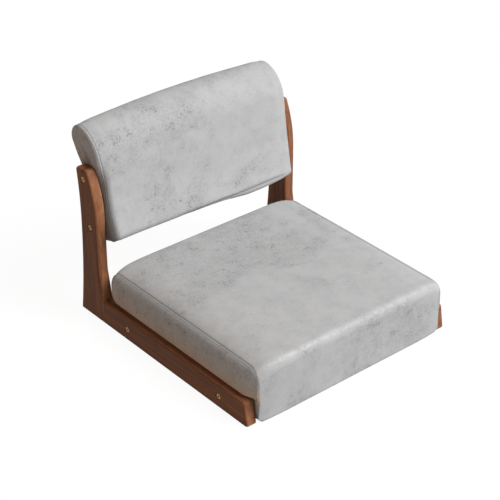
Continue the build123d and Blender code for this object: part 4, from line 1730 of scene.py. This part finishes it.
@dataclass
class Studio:
    """White floor, soft key light from the front right, even fill and the camera."""

    azimuth: float = -39.93
    elevation: float = 31.32
    camera_place: tuple[float, float, float] = (-1.6498, -1.9527, 1.7016)
    focal_pixels: float = 1549.93
    frame_pixels: float = 500.0
    sensor: float = 36.0
    aim: tuple[float, float, float] = (0.0, 0.0, 0.15)
    key_from: tuple[float, float, float] = (2.05, -2.8, 3.6)
    key_size: float = 4.4
    key_power: float = 295.0
    key_tint: tuple[float, float, float] = (0.985, 0.993, 1.0)
    fill: float = 0.15
    fill_tint: Colour = (1.0, 0.95, 0.89, 1.0)
    warm_from: tuple[float, float, float] = (-2.4, 0.1, 0.7)
    warm_size: float = 1.6
    warm_power: float = 4.6
    warm_tint: tuple[float, float, float] = (1.0, 0.42, 0.05)
    rear_from: tuple[float, float, float] = (0.7, 3.2, 0.5)
    rear_size: float = 1.2
    rear_power: float = 13.0
    floor_grey: float = 0.56
    floor_half: float = 30.0
    floor_glow: float = 1.045
    shadow_share: float = 0.1

    def seen(self, graph: Graph) -> Socket:
        """1 for rays that end in the picture, straight or by a mirror or glass, and 0 for the rest.

        Args:
            graph: The tree that asks.

        Returns:
            The answer's socket.
        """
        path = graph.add("ShaderNodeLightPath").outputs
        direct = graph.math("MAXIMUM", path["Is Camera Ray"], path["Is Glossy Ray"])
        return graph.math("MAXIMUM", direct, path["Is Transmission Ray"])

    def build(self) -> None:
        """Set up floor, light and camera."""
        scene = bpy.context.scene
        scene.view_settings.view_transform = "Standard"
        self.floor()
        self.light()
        self.camera()

    def floor(self) -> None:
        """Lay a white floor that keeps a faint shadow."""
        material, graph = new_material("studio_floor")
        grey = graph.out("ShaderNodeBsdfDiffuse", {"Color": (self.floor_grey,) * 3 + (1.0,)})
        pale = graph.out("ShaderNodeBsdfDiffuse", {"Color": WHITE})
        glow = graph.out("ShaderNodeEmission", {"Color": WHITE, "Strength": self.floor_glow})
        shown = graph.out("ShaderNodeMixShader", {0: self.shadow_share, 1: glow, 2: pale})
        both = graph.out("ShaderNodeMixShader", {0: self.seen(graph), 1: grey, 2: shown})
        graph.add("ShaderNodeOutputMaterial", {"Surface": both})
        corners = self.floor_half * np.array([(-1, -1, 0), (1, -1, 0), (1, 1, 0), (-1, 1, 0)])
        floor = new_piece("studio_floor", corners, [(0, 1, 2, 3)], material)

    def light(self) -> None:
        """Hang the key light, a weak warm one and a low rear one, and set the even fill."""
        self.lamp("key", self.key_from, self.key_size, self.key_power, self.key_tint)
        self.lamp("warm", self.warm_from, self.warm_size, self.warm_power, self.warm_tint)
        self.lamp("rear", self.rear_from, self.rear_size, self.rear_power, self.key_tint)
        world = bpy.data.worlds.new("studio")
        world.use_nodes = True
        graph = Graph(world.node_tree)
        dim = graph.out("ShaderNodeBackground", {"Color": self.fill_tint, "Strength": self.fill})
        full = graph.out("ShaderNodeBackground", {"Color": WHITE, "Strength": 1.0})
        both = graph.out("ShaderNodeMixShader", {0: self.seen(graph), 1: dim, 2: full})
        graph.add("ShaderNodeOutputWorld", {"Surface": both})
        bpy.context.scene.world = world

    def lamp(
        self, name: str, place: tuple, size: float, power: float, tint: tuple[float, float, float]
    ) -> None:
        """Hang a round soft lamp that faces the chair.

        Args:
            name: The lamp's name.
            place: Where it hangs.
            size: Its width.
            power: Its power in watts.
            tint: Its colour.
        """
        lamp = bpy.data.lights.new(name, "AREA")
        lamp.shape = "DISK"
        lamp.size = size
        lamp.energy = power
        lamp.color = tint
        holder = bpy.data.objects.new(name, lamp)
        holder.location = place
        away = Vector(place) - Vector(self.aim)
        holder.rotation_euler = away.to_track_quat("Z", "Y").to_euler()
        bpy.context.scene.collection.objects.link(holder)

    def camera(self) -> None:
        """Stand the camera where the photograph was taken from."""
        data = bpy.data.cameras.new("camera")
        data.sensor_width = self.sensor
        data.lens = self.focal_pixels / self.frame_pixels * self.sensor
        camera = bpy.data.objects.new("camera", data)
        camera.location = self.camera_place
        yaw, pitch = math.radians(self.azimuth), math.radians(self.elevation)
        away = Vector(
            (math.sin(yaw) * math.cos(pitch), -math.cos(yaw) * math.cos(pitch), math.sin(pitch))
        )
        camera.rotation_euler = away.to_track_quat("Z", "Y").to_euler()
        bpy.context.scene.collection.objects.link(camera)
        bpy.context.scene.camera = camera


def seat_on_frame(pieces: list[bpy.types.Object], slots: list[str]) -> None:
    """Fix pieces to the chair's one body.

    Args:
        pieces: The pieces, in the order of their slots.
        slots: The record's finish slot of each piece; not used.
    """
    for piece, slot in zip(pieces, slots):
        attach(piece, BODY)
        log.info("made %s with %d faces", piece.name, len(piece.data.polygons))


def main() -> None:
    """Dress the solids, build the cushions and the underside, and set up the studio."""
    logging.basicConfig(level=logging.INFO, format="%(message)s")
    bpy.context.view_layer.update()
    suede = BrushedSuede().material()
    thread = Thread().material()
    rail_wood = StainedWalnut("walnut_rail", Grain.DEPTH).material()
    post_wood = StainedWalnut("walnut_upright", Grain.UPRIGHT).material()
    pine_deep = BareWood("pine_depth", Grain.DEPTH).material()
    pine_wide = BareWood("pine_across", Grain.ACROSS).material()
    pine_tall = BareWood("pine_upright", Grain.UPRIGHT).material()
    brass = Metal("aged_brass", srgb(168, 134, 88), srgb(104, 80, 54), 0.34).material()
    steel = Metal("plain_steel", srgb(200, 200, 200), srgb(150, 150, 150), 0.3).material()
    hardware = [
        Hardware(rail_wood, ("left_rail", "right_rail")),
        Hardware(post_wood, ("left_upright", "right_upright")),
        Hardware(pine_deep, ("left_rail_dowels", "right_rail_dowels", "seat_deck")),
        Hardware(pine_deep, ("seat_left_batten", "seat_right_batten")),
        Hardware(pine_wide, ("seat_front_batten", "seat_rear_batten", "back_panel")),
        Hardware(pine_tall, ("back_left_batten", "back_right_batten")),
        Hardware(brass, ("seat_bolts", "back_bolts", "seat_inserts", "back_inserts")),
        Hardware(steel, ("seat_deck_screws", "back_panel_screws")),
    ]
    for group in hardware:
        group.dress(frame["nodes"])
    seat_seam = SewnSeam(groove=0.0006, darkness=0.62, lap=0.007, band=0.0001, stitch_dip=0.0003)
    seat = SeatCushion(suede, thread, seat_seam).build()
    seat_on_frame(seat, ["upholstery"] * len(seat))
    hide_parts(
        "seat_foam", "seat_cover_wrap", "seat_cover_left_side", "seat_cover_right_side"
    )
    back = BackCushion(suede, thread, SewnSeam(groove=0.0011, darkness=0.25)).build()
    seat_on_frame(back, ["upholstery"] * len(back))
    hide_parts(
        "back_front_foam",
        "back_rear_foam",
        "back_cover_wrap",
        "back_cover_left_end",
        "back_cover_right_end",
    )
    under = Underside(SpunLining().material(), steel).build()
    seat_on_frame(under, ["dust_cloth", "steel"])
    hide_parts("seat_dust_cover")
    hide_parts("seat_staples")
    Studio().build()


if __name__ == "__main__":
    main()
